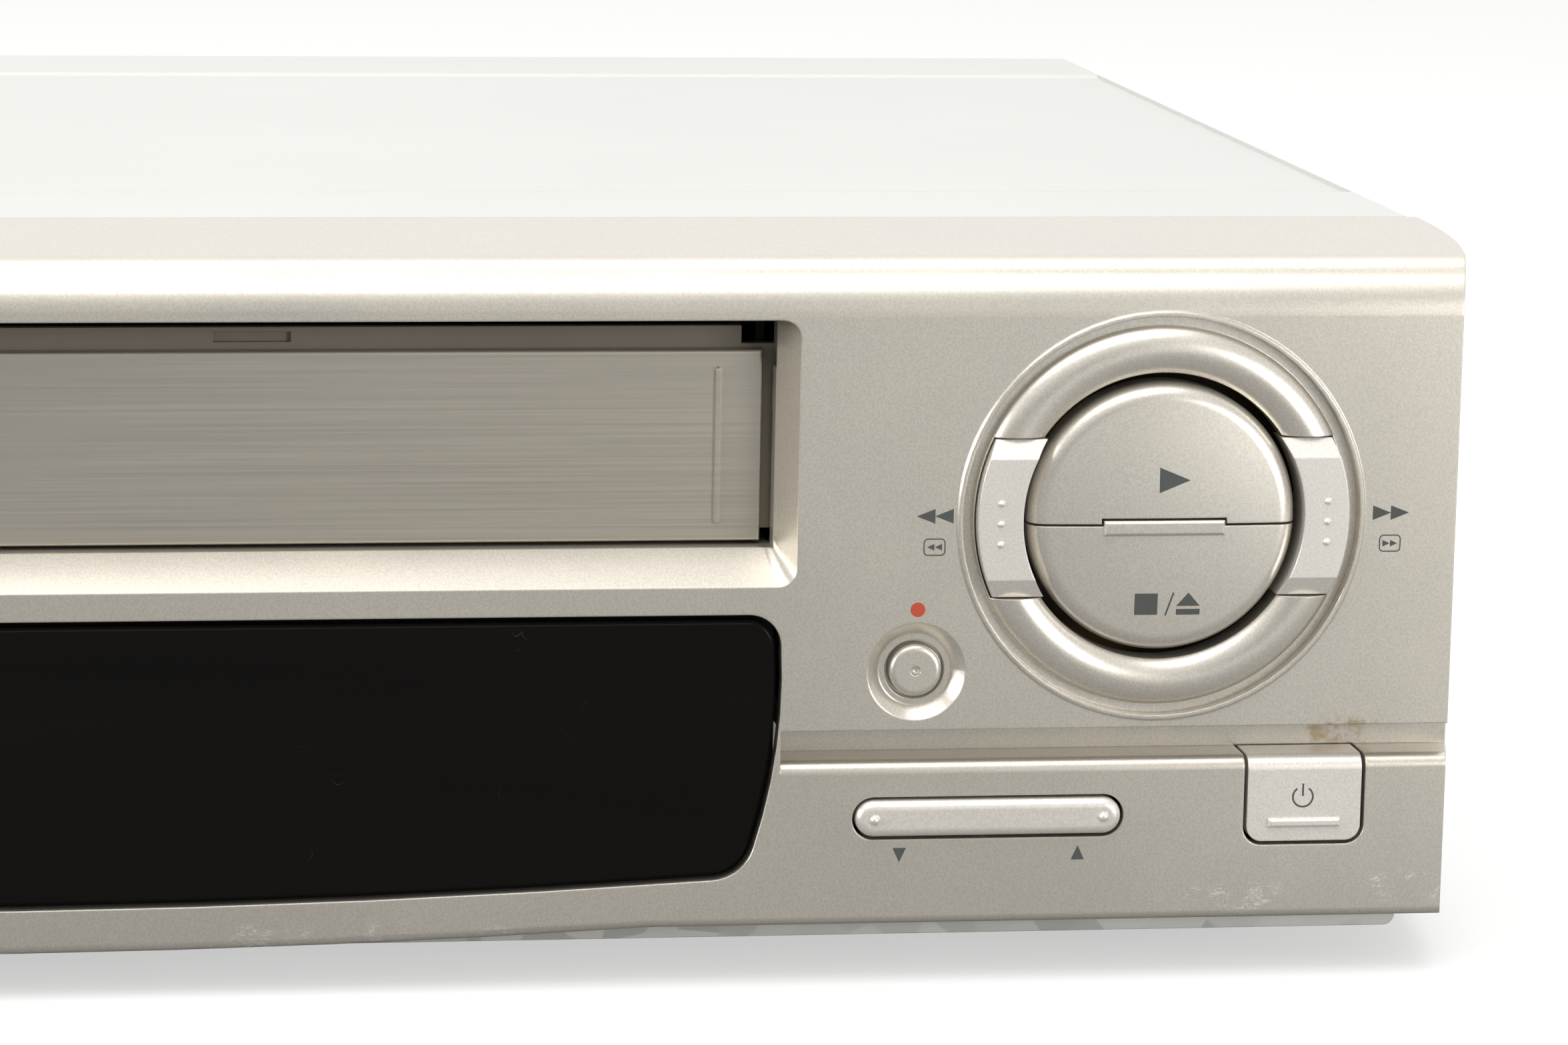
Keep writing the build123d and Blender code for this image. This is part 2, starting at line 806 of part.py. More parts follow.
def boss_places():
    near = rocker_x - rocker_length / 2 + rocker_gap
    far = power_x + power_width / 2 + power_gap + boss_beside
    high = dial_z + boss_above_dial
    return ((boss_left, boss_low), (boss_left, boss_middle), (near, boss_low), (far, boss_low),
            (far, boss_middle), (hinge_pin_end + boss_beside_hinge, high), (far, high))


def power_face(grow):
    """Front outline of the power button, grown by the gap for its opening."""
    half = power_width / 2 + grow
    face = polygon((power_x - half, power_low - grow), (power_x + half, power_low - grow),
                   (power_x + half, groove_bottom), (power_x - half, groove_bottom))
    return fillet(face.vertices().group_by(Axis.Y)[0], power_corner + grow)


def rocker_face(grow):
    return Pos(rocker_x, rocker_z) * SlotOverall(rocker_length + 2 * grow, rocker_height + 2 * grow)


def make_front_bezel():
    bezel = bezel_form(0, plate_top, bezel_depth)
    bezel -= bezel_form(wall, plate_top + wall, bezel_depth + 1)
    chord = plate_top + low_round
    half_chord = math.sqrt(2 * belly_radius * (low_round + belly_drop))
    belly = make_face(Line((-half_chord, chord), (half_chord, chord))
                      + ThreePointArc((half_chord, chord), (0, plate_top - belly_drop),
                                      (-half_chord, chord)))
    belly = front_cut(belly, 0, belly_depth)
    belly = fillet(belly.edges().group_by(Axis.Y)[0].filter_by(GeomType.CIRCLE), low_round)
    bezel += belly
    backing = both_sides(block(groove_start(), width / 2, boss_root, groove_depth + wall,
                               groove_bottom - wall, groove_bottom + groove_height + wall))
    bezel += backing & bezel_form(0, plate_top, bezel_depth)
    bezel += make_slot_frame()
    for x, z in boss_places():
        bezel += rod_y(x, z, wall - boss_root, board_front, boss_radius)
    rocker_lug = block(rocker_x - rocker_lug_half, rocker_x + rocker_lug_half, wall - boss_root,
                       rocker_pivot_depth + 2 * rocker_pin_radius, rocker_z + rocker_height / 2 + 1,
                       rocker_z + rocker_pin_half_length + 1)
    bezel += rocker_lug
    bezel += Pos(0, 0, 2 * rocker_z) * mirror(rocker_lug, about=Plane.XY)
    lip = rod_y(dial_x, dial_z, -dial_lip_proud, wall, dial_radius + dial_lip)
    bezel += chamfer(lip.edges().group_by(Axis.Y)[0], dial_lip_chamfer)

    bezel -= slot_opening()
    bezel -= groove_cutter()
    bezel -= front_cut(offset(window_face(), amount=window_gap), -1, wall + 1)
    bezel -= rod_y(dial_x, dial_z, -1, wall + 1, dial_radius)
    bezel -= rod_y(dial_x, dial_z, wall, ring_rear + seam_gap, dial_radius + ring_flange + seam_gap)
    dish = Cone(record_dish_floor, record_dish, record_dish_depth)
    bezel -= Pos(record_x, face_y + record_dish_depth / 2, record_z) * Rot(90, 0, 0) * dish
    bezel -= rod_y(record_x, record_z, -1, wall + 1, record_radius + record_gap)
    bezel -= front_cut(rocker_face(rocker_gap), -1, wall + 1)
    bezel -= rod_z(rocker_x, rocker_pivot_depth, rocker_z - rocker_pin_half_length - slide_gap,
                   rocker_z + rocker_pin_half_length + slide_gap, rocker_pin_radius + shaft_gap)
    bezel -= front_cut(power_face(power_gap), -1, groove_depth + press_travel)
    pin = hinge_pin_radius + hinge_bore_gap
    bezel -= both_sides(rod_x(hinge_depth, hinge_height, arm_inner, hinge_pin_end, pin))
    return bezel


def make_display_window():
    face = window_face()
    window = front_cut(face, window_inset, wall)
    window = chamfer(window.faces().sort_by(Axis.Y)[0].edges(), window_edge)
    flange = front_cut(offset(face, amount=window_gap + window_flange), wall,
                       wall + window_flange_thickness)
    flange &= block(-window_half_width, window_half_width, 0, board_front,
                    plate_top + wall + low_round, height)
    return window + flange


# ------------------------------------------------------------------ cassette door
def door_half_width():
    return slot_half_width - door_side_gap


def door_low():
    return slot_low + door_low_gap


def make_door_plate():
    half = door_half_width()
    low = door_low()
    high = low + door_height
    plate = block(-half, half, door_front, door_front + door_plate_thickness, low, high)
    plate = fillet(plate.faces().sort_by(Axis.Y)[0].edges(), door_edge)
    rib = Pos(half - door_rib_inset, (low + high) / 2) * Rot(0, 0, 90) * SlotOverall(
        door_height - 2 * door_rib_margin, door_rib_width)
    return plate + both_sides(front_cut(rib, door_front - door_rib_proud, door_front + boss_root))


def make_door_flap():
    front = door_front + door_plate_thickness
    back = front + door_flap_thickness
    arm_outer = arm_inner + arm_thickness
    flap = block(-arm_outer, arm_outer, front, back, door_low() + door_flap_thickness,
                 door_strip_low)
    flap += block(-door_strip_half_width, door_strip_half_width, front, back, door_strip_low - 1,
                  door_strip_top)
    flap -= block(*notch, front - 1, front + notch_depth, door_strip_low + notch_low,
                  door_strip_top - notch_high)
    arm = block(arm_inner, arm_outer, hinge_depth - hinge_pin_radius - arm_before_hinge, back,
                hinge_height - arm_below_hinge, hinge_height + arm_above_hinge)
    arm += rod_x(hinge_depth, hinge_height, arm_outer - boss_root, hinge_pin_end, hinge_pin_radius)
    return flap + both_sides(arm)


def make_door_spring():
    start = arm_inner + arm_thickness + slide_gap + lug_thickness
    coil = rod_x(hinge_depth, hinge_height, start, start + spring_length, spring_radius)
    return coil - rod_x(hinge_depth, hinge_height, start - 1, start + spring_length + 1,
                        hinge_pin_radius + 2 * hinge_bore_gap)


# ------------------------------------------------------------------ round control cluster
def make_dial_ring():
    outer = dial_radius
    crown = (ring_outer + ring_inner) / 2
    dome = ThreePointArc((ring_inner, ring_edge_depth), (crown, -ring_proud),
                         (ring_outer, ring_edge_depth))
    face = make_face(dome + Polyline((ring_outer, ring_edge_depth), (ring_outer, ring_trough),
                                     (outer, ring_trough), (outer, wall),
                                     (outer + ring_flange, wall), (outer + ring_flange, ring_rear),
                                     (ring_inner, ring_rear), (ring_inner, ring_edge_depth)))
    ring = turned(face, dial_x, dial_z)
    ring -= arc_pocket(slide_gap * 0.7)
    return ring


def arc_pocket(gap):
    """The two side sectors of the ring, grown by a gap."""
    sector = rod_y(dial_x, dial_z, -5, board_front, arc_button_outer + gap)
    sector -= rod_y(dial_x, dial_z, -5, board_front, arc_button_inner - gap)
    half = arc_button_half_height + gap
    return sector & block(dial_x - width, dial_x + width, -5, board_front, dial_z - half,
                          dial_z + half)


def stem(x, z, start):
    """The stalk that carries a press to the switch behind it."""
    end = board_front - switch_height - plunger_height - press_travel - press_gap
    return rod_y(x, z, start, end, stem_radius)


def make_arc_button(side):
    """Rewind button on the left of the ring, forward button on its right."""
    middle = dial_x + side * (arc_button_outer + arc_button_inner) / 2
    half = arc_button_half_height
    front = -arc_button_proud
    sector = arc_pocket(0)
    rise, slope = arc_button_bevel
    profile = polygon((front, dial_z - half + rise), (front, dial_z + half - rise),
                      (front + slope, dial_z + half), (ring_rear, dial_z + half),
                      (ring_rear, dial_z - half), (front + slope, dial_z - half))
    reach = sorted((dial_x + side, dial_x + side * (dial_radius + 1)))
    button = sector & side_cut(profile, *reach)
    for step in (-1, 0, 1):
        z = dial_z + pip_shift + step * pip_pitch
        button += Pos(middle, face_y + front, z) * Sphere(small_pip_radius)
    return button + stem(middle, dial_z, ring_rear - boss_root)


def centre_disc():
    flat = -centre_proud + centre_sag
    edge_top = flat + (centre_radius - centre_flat_radius)
    turn = math.sqrt(0.5)
    curve = centre_radius - centre_flat_radius
    crown = ThreePointArc((0, -centre_proud),
                          (centre_flat_radius / 2, -centre_proud + centre_sag / 4),
                          (centre_flat_radius, flat))
    rim = ThreePointArc((centre_flat_radius, flat),
                        (centre_flat_radius + curve * turn, flat + curve * (1 - turn)),
                        (centre_radius, edge_top))
    face = make_face(crown + rim + Polyline((centre_radius, edge_top), (centre_radius, centre_rear),
                                            (0, centre_rear), (0, -centre_proud)))
    return turned(face, dial_x, dial_z)


def split_z():
    return dial_z + split_height


def ridge(grow, d0, d1):
    """The slim finger ridge at the split between the two halves."""
    half = ridge_length / 2 + grow
    top = split_z() + ridge_rise + grow
    return block(dial_x - half, dial_x + half, d0, d1, top - ridge_height - 2 * grow, top)


def make_play_button():
    half = centre_disc() & block(0, width, -5, board_front, split_z() + split_gap / 2, height)
    half -= ridge(split_gap, -5, board_front)
    return half + stem(dial_x, dial_z + centre_radius / 2, centre_rear - boss_root)


def make_stop_button():
    half = centre_disc() & block(0, width, -5, board_front, 0, split_z() - split_gap / 2)
    bar = ridge(0, -button_proud, centre_rear)
    half += chamfer(bar.faces().sort_by(Axis.Y)[0].edges(), ridge_edge)
    return half + stem(dial_x, dial_z - centre_radius / 2, centre_rear - boss_root)


# ------------------------------------------------------------------ other keys
def make_record_button():
    button = rod_y(record_x, record_z, record_front, wall + slide_gap + record_flange, record_radius)
    button = fillet(button.edges().group_by(Axis.Y)[0], record_edge)
    button += rod_y(record_x, record_z, wall + slide_gap, wall + slide_gap + record_flange,
                    record_radius + record_flange)
    button -= Pos(record_x, face_y + record_front, record_z) * Sphere(record_dimple)
    return button + stem(record_x, record_z, wall)


def make_channel_rocker():
    rocker = front_cut(rocker_face(0), -rocker_proud, -rocker_proud + rocker_thickness)
    rocker = fillet(rocker.faces().sort_by(Axis.Y)[0].edges(), rocker_edge)
    for side in (-1, 1):
        x = rocker_x + side * (rocker_length - rocker_height) / 2
        rocker += Pos(x, face_y - rocker_proud, rocker_z) * Sphere(pip_radius)
        rocker += stem(rocker_x + side * rocker_stem, rocker_z, boss_root)
    half = rocker_lug_half - slide_gap
    rocker += block(rocker_x - half, rocker_x + half, wall - boss_root,
                    rocker_pivot_depth + rocker_pin_radius, rocker_z - rocker_height / 2,
                    rocker_z + rocker_height / 2)
    return rocker + rod_z(rocker_x, rocker_pivot_depth, rocker_z - rocker_pin_half_length,
                          rocker_z + rocker_pin_half_length, rocker_pin_radius)


def make_power_button():
    button = front_cut(power_face(0), 0, groove_depth - slide_gap)
    top_front = button.edges().filter_by(Axis.X).group_by(Axis.Y)[0].sort_by(Axis.Z)[-1]
    button = fillet(top_front, power_bend)
    face = offset(power_face(0), amount=-power_shell)
    button -= front_cut(face, power_shell, groove_depth + 1)
    bar = block(power_x - power_bar_width / 2, power_x + power_bar_width / 2, -power_bar_proud,
                power_shell, power_bar_z - power_bar_height / 2, power_bar_z + power_bar_height / 2)
    button += chamfer(bar.faces().sort_by(Axis.Y)[0].edges(), power_bar_proud / 2)
    return button + stem(power_x, power_stem_height(), power_shell - boss_root)


def power_stem_height():
    return (power_low + groove_bottom) / 2


def switch_places():
    arc = (arc_button_outer + arc_button_inner) / 2
    return ((dial_x, dial_z + centre_radius / 2), (dial_x, dial_z - centre_radius / 2),
            (dial_x - arc, dial_z), (dial_x + arc, dial_z), (record_x, record_z),
            (rocker_x - rocker_stem, rocker_z), (rocker_x + rocker_stem, rocker_z),
            (power_x, power_stem_height()))


def make_key_switches():
    switches = []
    for x, z in switch_places():
        half = switch_size / 2
        body = block(x - half, x + half, board_front - switch_height, board_front, z - half, z + half)
        tip = board_front - switch_height - plunger_height
        switches.append(body + rod_y(x, z, tip, board_front - switch_height + boss_root, plunger_radius))
    return Compound(switches)


# ------------------------------------------------------------------ boards and supply
def make_front_board():
    right = power_x + power_width / 2 + front_board_beyond
    tower = dial_x - front_board_tower
    low = plate_top + wall + front_board_lift
    board = block(front_board_left, right, board_front, board_front + board_thickness, low,
                  window_top - front_board_lift)
    board += block(tower, right, board_front, board_front + board_thickness, low,
                   dial_z + dial_radius)
    return board


def make_display_tube():
    half = tube_half_width
    tube = block(-half, half, tube_front, tube_front + tube_thickness, tube_low, tube_high)
    tube = fillet(tube.faces().sort_by(Axis.Y)[0].edges(), tube_edge)
    side, end = tube_mount_inset
    return tube + block(-half + side, half - side, tube_front + tube_thickness - boss_root, board_front,
                        tube_low + end, tube_high - end)


def deck_post_places():
    return [(x, depth) for x in (-deck_post_across, deck_post_across)
            for depth in (deck_post_front, deck_post_rear)]


def board_low():
    return plate_top + board_standoff


def board_top():
    return board_low() + board_thickness


def make_main_board():
    board = block(-board_half_width, board_half_width, board_front_edge, board_rear_edge,
                  board_low(), board_top())
    for x, depth in deck_post_places():
        board -= rod_z(x, depth, 0, height, deck_post_radius + post_hole_gap)
    return board


def make_deck_posts():
    return Compound([rod_z(x, depth, plate_top, deck_z, deck_post_radius)
                     for x, depth in deck_post_places()])


def make_transformer():
    x, depth = transformer_at
    wide, deep, tall = transformer_core
    low = board_top()
    core = block(x - wide / 2, x + wide / 2, depth - deep / 6, depth + deep / 6, low, low + tall)
    winding = block(x - wide * 0.36, x + wide * 0.36, depth - deep / 2, depth + deep / 2,
                    low + tall * 0.18, low + tall * 0.82)
    winding = fillet(winding.edges().filter_by(Axis.Z), winding_round)
    return core + winding + block(x - wide * 0.4, x + wide * 0.4, depth - deep * 0.45,
                                  depth + deep * 0.45, low, low + transformer_foot)


def make_power_capacitors():
    cans = []
    for across, depth, radius, tall in power_cans:
        can = rod_z(across - board_half_width, depth, board_top(), board_top() + tall, radius)
        cans.append(fillet(can.edges().group_by(Axis.Z)[-1], can_round))
    return Compound(cans)


def make_main_chips():
    chips = []
    for side, across, depth, wide, deep in board_chips:
        x = side * (board_half_width - across)
        chips.append(block(x - wide / 2, x + wide / 2, depth - deep / 2, depth + deep / 2,
                           board_top(), board_top() + chip_height))
    return Compound(chips)


def make_tuner_box():
    box = block(tuner_left, tuner_right, tuner_front, panel_front(), board_top(), tuner_top)
    inset, step = tuner_lid
    lid = block(tuner_left + inset, tuner_right - inset, tuner_front + inset, panel_front() - inset,
                tuner_top - boss_root, tuner_top + step)
    return fillet(box.edges().filter_by(Axis.Z), tuner_corner) + lid


def make_aerial_sockets():
    sockets = []
    for x in aerial_at:
        start = panel_front()
        end = body_depth + aerial_length
        socket = rod_y(x, aerial_height, start, end, aerial_radius)
        socket += rod_y(x, aerial_height, panel_back(), panel_back() + sheet,
                        aerial_radius + aerial_collar)
        socket -= rod_y(x, aerial_height, end - aerial_bore_depth, end + 1, aerial_bore)
        socket += rod_y(x, aerial_height, start, end - aerial_contact_back, aerial_contact)
        sockets.append(socket)
    return Compound(sockets)


def make_av_jacks():
    jacks = block(jack_left, jack_right, jack_front, panel_front(), board_top(), jack_top)
    jacks = fillet(jacks.edges().filter_by(Axis.Z), jack_edge)
    for x in jack_across:
        for z in jack_heights:
            jacks += rod_y(x, z, panel_front() - boss_root, panel_back() + jack_collar_proud, jack_collar)
            jacks += rod_y(x, z, panel_front(), panel_back() + jack_length, jack_radius)
            jacks -= rod_y(x, z, panel_back() - jack_hole_depth, panel_back() + jack_length + 1,
                           jack_hole_radius)
    return jacks


def make_mains_inlet():
    wide, deep, tall = inlet_body
    hollow_wide, hollow_tall = inlet_hollow
    body = block(inlet_x - wide / 2, inlet_x + wide / 2, panel_front() - deep, panel_front(),
                 inlet_z - tall / 2, inlet_z + tall / 2)
    body += block(inlet_x - hollow_wide / 2 - inlet_rim, inlet_x + hollow_wide / 2 + inlet_rim,
                  panel_front() - 1, panel_back() + inlet_rim,
                  inlet_z - hollow_tall / 2 - inlet_rim, inlet_z + hollow_tall / 2 + inlet_rim)
    body += block(inlet_x - wide / 2, inlet_x + wide / 2, panel_front() - deep,
                  panel_front() - inlet_stand_back, board_top(), inlet_z - tall / 2 + boss_root)
    hollow = RectangleRounded(hollow_wide, hollow_tall, hollow_tall * 0.49)
    floor_depth = panel_back() + inlet_rim - inlet_depth
    body -= front_cut(Pos(inlet_x, inlet_z) * hollow, floor_depth, panel_back() + inlet_rim + 1)
    for side in (-1, 1):
        body += rod_y(inlet_x + side * inlet_pin_pitch / 2, inlet_z, floor_depth - boss_root,
                      panel_back(), inlet_pin_radius)
    return body


# ------------------------------------------------------------------ deck plate and lift
def make_deck_plate():
    plate = block(-deck_half_width, deck_half_width, deck_front, deck_rear, deck_z, deck_top)
    plate = fillet(plate.edges().filter_by(Axis.Z), deck_corner)
    plate -= rod_z(0, drum_depth, 0, height, drum_hole_radius)
    plate -= rod_z(*capstan_at, 0, height, bearing_radius)
    plate -= rod_z(0, clutch_depth, 0, height, clutch_shaft + shaft_gap)
    for side in (-1, 1):
        plate += rod_z(side * reel_across, reel_depth, deck_top - boss_root, reel_top - reel_cap,
                       reel_pin_radius)
    plate += rod_z(*cam_at, deck_top - boss_root, cam_top, cam_pin)
    plate += rod_z(*pinch_pivot, deck_top - boss_root, pinch_level + pinch_boss + pin_above, pinch_pin)
    plate += rod_z(*tension_pivot, deck_top - boss_root, tension_level + tension_boss + pin_above,
                   tension_pin)
    plate += rod_x(lift_gear_depth, lift_gear_height(), lift_gear_pin_start(), lift_plate_inner,
                   lift_gear_pin)
    long, wide, above = lift_gear_stand
    plate += block(lift_gear_pin_start() - long, lift_gear_pin_start(), lift_gear_depth - wide / 2,
                   lift_gear_depth + wide / 2, deck_top - boss_root,
                   lift_gear_height() + lift_gear_pin + above)
    return plate


def lift_gear_height():
    return slider_rail_low - slide_gap - lift_gear_radius


def lift_gear_pin_start():
    return slider_inner - slide_gap


def make_lift_frame():
    outer = lift_plate_inner + lift_plate
    side = block(lift_plate_inner, outer, deck_front, lift_rear, deck_top, lift_top)
    reach = track_pin_radius + track_gap
    inner_end = track_depth + carriage_travel
    level = block(0, width, track_depth - reach, inner_end + reach, track_height - reach,
                  track_height + reach)
    drop = block(0, width, inner_end - reach, inner_end + reach,
                 track_height - lift_travel - reach, track_height + reach)
    side -= level + drop
    side += block(outer - lift_fold, outer + lift_foot, deck_front, lift_rear, deck_top,
                  deck_top + lift_plate)
    bridge_rear = lift_bridge_front + lift_bridge_width
    side += block(lift_plate_inner, outer, lift_bridge_front, bridge_rear, lift_top - 1,
                  lift_bridge_z + lift_plate)
    frame = both_sides(side)
    frame -= rod_x(lift_gear_depth, lift_gear_height(), 0, width, lift_gear_pin)
    return frame + block(-outer, outer, lift_bridge_front, bridge_rear, lift_bridge_z,
                         lift_bridge_z + lift_plate)


def make_lift_slider():
    outer = slider_inner + slider_plate
    reach = track_pin_radius + track_gap
    rail = block(slider_inner, outer, slider_rail_front, slider_rail_rear, slider_rail_low,
                 slider_rail_low + slider_rail_height)
    upright = block(slider_inner, outer, slider_front, slider_rear,
                    slider_rail_low + slider_rail_height - 1, slider_bar_z + lift_plate)
    upright -= block(0, width, track_depth - reach, track_depth + reach,
                     track_height - lift_travel - reach, track_height + reach)
    bar = block(-outer, outer, slider_bar_front, slider_bar_front + slider_bar_width, slider_bar_z,
                slider_bar_z + lift_plate)
    slot = block(0, width, track_depth - reach, track_depth + reach,
                 track_height - lift_travel - reach, track_height + reach)
    return both_sides(rail + upright - slot) + bar


def make_cassette_basket():
    outer = basket_half_width
    floor_low = basket_floor - basket_sheet
    ledge = block(basket_ledge_inner, outer, basket_front, basket_rear, floor_low, basket_floor)
    side = block(outer - basket_side_wall, outer, basket_front, basket_rear, floor_low,
                 basket_top + basket_sheet)
    stop = block(basket_stop_inner, outer - basket_side_wall + lift_fold, basket_rear - basket_side_wall,
                 basket_rear, basket_floor - boss_root, basket_floor + basket_stop_height)
    pin = rod_x(track_depth, track_height, outer - boss_root, lift_plate_inner - track_gap,
                track_pin_radius)
    top = block(-outer, outer, basket_top_front, basket_top_rear, basket_top,
                basket_top + basket_sheet)
    return both_sides(ledge + side + stop + pin) + top


def make_lift_gear():
    inner = slider_inner
    gear = rod_x(lift_gear_depth, lift_gear_height(), inner, inner + slider_plate, lift_gear_radius)
    return gear - rod_x(lift_gear_depth, lift_gear_height(), inner - 1, inner + slider_plate + 1,
                        lift_gear_pin + shaft_gap)


# ------------------------------------------------------------------ reels and their drive
def make_reel(side):
    x = side * reel_across
    reel = Pos(x, face_y + reel_depth, reel_flange_low) * extrude(
        toothed_disc(reel_flange, reel_teeth, reel_tooth), amount=(reel_flange_top - reel_flange_low) / 2)
    reel += rod_z(x, reel_depth, reel_flange_low + boss_root, reel_flange_top, reel_flange - reel_rim)
    reel += rod_z(x, reel_depth, deck_top + float_gap, reel_flange_low + boss_root, reel_hub)
    hub = rod_z(x, reel_depth, reel_flange_top - boss_root, reel_top, reel_hub)
    reel += chamfer(hub.edges().group_by(Axis.Z)[-1], reel_hub_chamfer)
    spline_tall = reel_top - reel_flange_top - 2 * reel_spline_margin
    for third in range(3):
        spline = Pos(reel_hub, 0, reel_flange_top + spline_tall / 2) * Box(
            2 * reel_spline, reel_spline_width, spline_tall)
        reel += Pos(x, face_y + reel_depth, 0) * Rot(0, 0, 120 * third) * spline
    return reel - rod_z(x, reel_depth, 0, reel_top - reel_cap + float_gap, reel_pin_radius + shaft_gap)


def make_clutch_pulley():
    pulley = rod_z(0, clutch_depth, pulley_low, pulley_high, clutch_radius)
    pulley += rod_z(0, clutch_depth, pulley_high - boss_root, idler_gear_top, clutch_shaft)
    gear = Pos(0, face_y + clutch_depth, idler_gear_low) * extrude(
        Circle(clutch_gear), amount=idler_gear_top - idler_gear_low)
    return pulley + gear


def make_idler_arm():
    low = deck_top + float_gap
    end = clutch_depth + idler_reach
    half = idler_arm_width / 2
    arm = rod_z(0, clutch_depth, low, idler_arm_top, idler_boss[0])
    arm += block(-half, half, clutch_depth, end, idler_arm_low, idler_arm_top)
    arm += rod_z(0, end, low, idler_arm_top, idler_boss[1])
    arm += rod_z(0, end, idler_arm_top - boss_root, idler_gear_top + idler_pin_above, idler_pin)
    return arm - rod_z(0, clutch_depth, 0, height, clutch_shaft + shaft_gap)


def make_idler_gear():
    depth = clutch_depth + idler_reach
    gear = rod_z(0, depth, idler_gear_low, idler_gear_top, idler_gear_radius)
    return gear - rod_z(0, depth, 0, height, idler_pin + shaft_gap)


def belt_outline(grow):
    """Both pulleys and the straight runs between them, in plan."""
    start = Pos(*capstan_at) * Circle(capstan_pulley + belt_gap + grow)
    end = Pos(0, clutch_depth) * Circle(clutch_radius + belt_gap + grow)
    return make_hull(start.edges() + end.edges())


def make_drive_belt():
    band = plan_cut(belt_outline(belt_thickness), belt_low, belt_high)
    return band - plan_cut(belt_outline(0), belt_low - 1, belt_high + 1)


def make_capstan():
    capstan = rod_z(*capstan_at, flywheel_low, pulley_low, flywheel_radius)
    capstan = chamfer(capstan.edges(), flywheel_edge)
    capstan += rod_z(*capstan_at, pulley_low - boss_root, pulley_high, capstan_pulley)
    return capstan + rod_z(*capstan_at, pulley_high - boss_root, capstan_top, capstan_radius)


def make_capstan_housing():
    low = pulley_high + housing_gap
    housing = rod_z(*capstan_at, low, deck_z, housing_radius)
    housing += rod_z(*capstan_at, low, bearing_top, bearing_radius)
    return housing - rod_z(*capstan_at, 0, height, capstan_radius + shaft_gap)


# ------------------------------------------------------------------ head drum
def drum_place(z=0.0):
    """The drum's leaning frame, at a height along its own axis."""
    return Pos(0, face_y + drum_depth, drum_height) * Rot(drum_tilt, 0, 0) * Pos(0, 0, z)


def drum_ring(low, high, outer, inner=0.0):
    ring = drum_place((low + high) / 2) * Cylinder(outer, high - low)
    if inner > 0:
        ring -= drum_place((low + high) / 2) * Cylinder(inner, high - low + 1)
    return ring


def make_lower_drum():
    base = rod_z(0, drum_depth, deck_top, drum_height + lower_drum_height, drum_base_radius)
    base -= rod_z(0, drum_depth, 0, height, drum_base_inner)
    base -= drum_place(height / 2) * Box(3 * drum_radius, 3 * drum_radius, height)
    drum = drum_ring(0, lower_drum_height, drum_radius, drum_shaft + shaft_gap)
    return base + drum


def make_drum_stator():
    return drum_ring(stator_low, 0, stator_radius, stator_hole)


def make_drum_rotor():
    rotor = drum_ring(rotor_low, rotor_top, rotor_radius)
    rotor += drum_ring(rotor_top - boss_root, stator_low + drum_cup, rotor_radius,
                       rotor_radius - rotor_rim)
    top = lower_drum_height + drum_split + upper_drum_height
    return rotor + drum_ring(rotor_top - boss_root, top, drum_shaft)


def make_upper_drum():
    low = lower_drum_height + drum_split
    drum = drum_ring(low, low + upper_drum_height, drum_radius, drum_shaft)
    groove_outer, groove_inner, groove_deep = drum_groove
    top = low + upper_drum_height
    drum -= drum_ring(top - groove_deep, top + 1, groove_outer, groove_inner)
    for turn in (0, 180):
        drum -= drum_place(low) * Rot(0, 0, turn) * Pos(drum_radius, 0, 0) * Box(*head_window)
    return drum


# ------------------------------------------------------------------ tape path
def make_guide_rails():
    travel, heading = toward(guide_rest, guide_loaded)
    middle = ((guide_rest[0] + guide_loaded[0]) / 2, (guide_rest[1] + guide_loaded[1]) / 2)
    rail = Rectangle(rail_length, rail_width) - SlotOverall(travel + guide_block[0], rail_slot)
    rail = Pos(*middle) * Rot(0, 0, heading) * rail
    return both_sides(plan_cut(rail, deck_top, deck_top + rail_height))


def make_tape_guide(side):
    heading = toward(guide_rest, guide_loaded)[1]
    long, wide, tall = guide_block
    low = deck_top + rail_height + guide_float
    here = Pos(guide_rest[0], face_y + guide_rest[1], 0) * Rot(0, 0, heading)
    guide = here * Pos(0, 0, low + tall / 2) * Box(long, wide, tall)
    guide += here * Pos(0, 0, low - 1) * Box(long * guide_keel, rail_slot - 2 * track_gap, 3.0)
    top = low + tall
    upright = here * Pos(guide_roller_at, 0, (top + guide_roller_top) / 2)
    guide += upright * Cylinder(guide_spindle, guide_roller_top - top + 2 * boss_root)
    upright = here * Pos(guide_roller_at, 0, (guide_roller_low + guide_roller_top) / 2)
    guide += upright * Cylinder(guide_roller, guide_roller_top - guide_roller_low)
    pin_radius, pin_length = guide_pin
    lean = here * Pos(guide_pin_at, 0, top - 2 * boss_root) * Rot(0, -guide_pin_lean, 0)
    guide += lean * Pos(0, 0, pin_length / 2) * Cylinder(pin_radius, pin_length)
    if side < 0:
        guide = mirror(guide, about=Plane.YZ)
    return guide


def make_erase_head():
    x, depth = erase_head_at
    half = head_half
    head = block(x - half, x + half, depth - half, depth + half, deck_top, erase_head_top)
    return fillet(head.edges().filter_by(Axis.Z), head_round)


def make_audio_head():
    x, depth = audio_head_at
    wide, thick = audio_plate
    head = block(x - wide, x + wide, depth - wide, depth + wide, deck_top, deck_top + thick)
    half = head_half
    return head + block(x - half, x + half, depth - half, depth + half, deck_top + thick - boss_root,
                        audio_head_top)


def make_guide_posts():
    return Compound([rod_z(x, depth, deck_top, post_top, post_radius) for x, depth in fixed_posts])


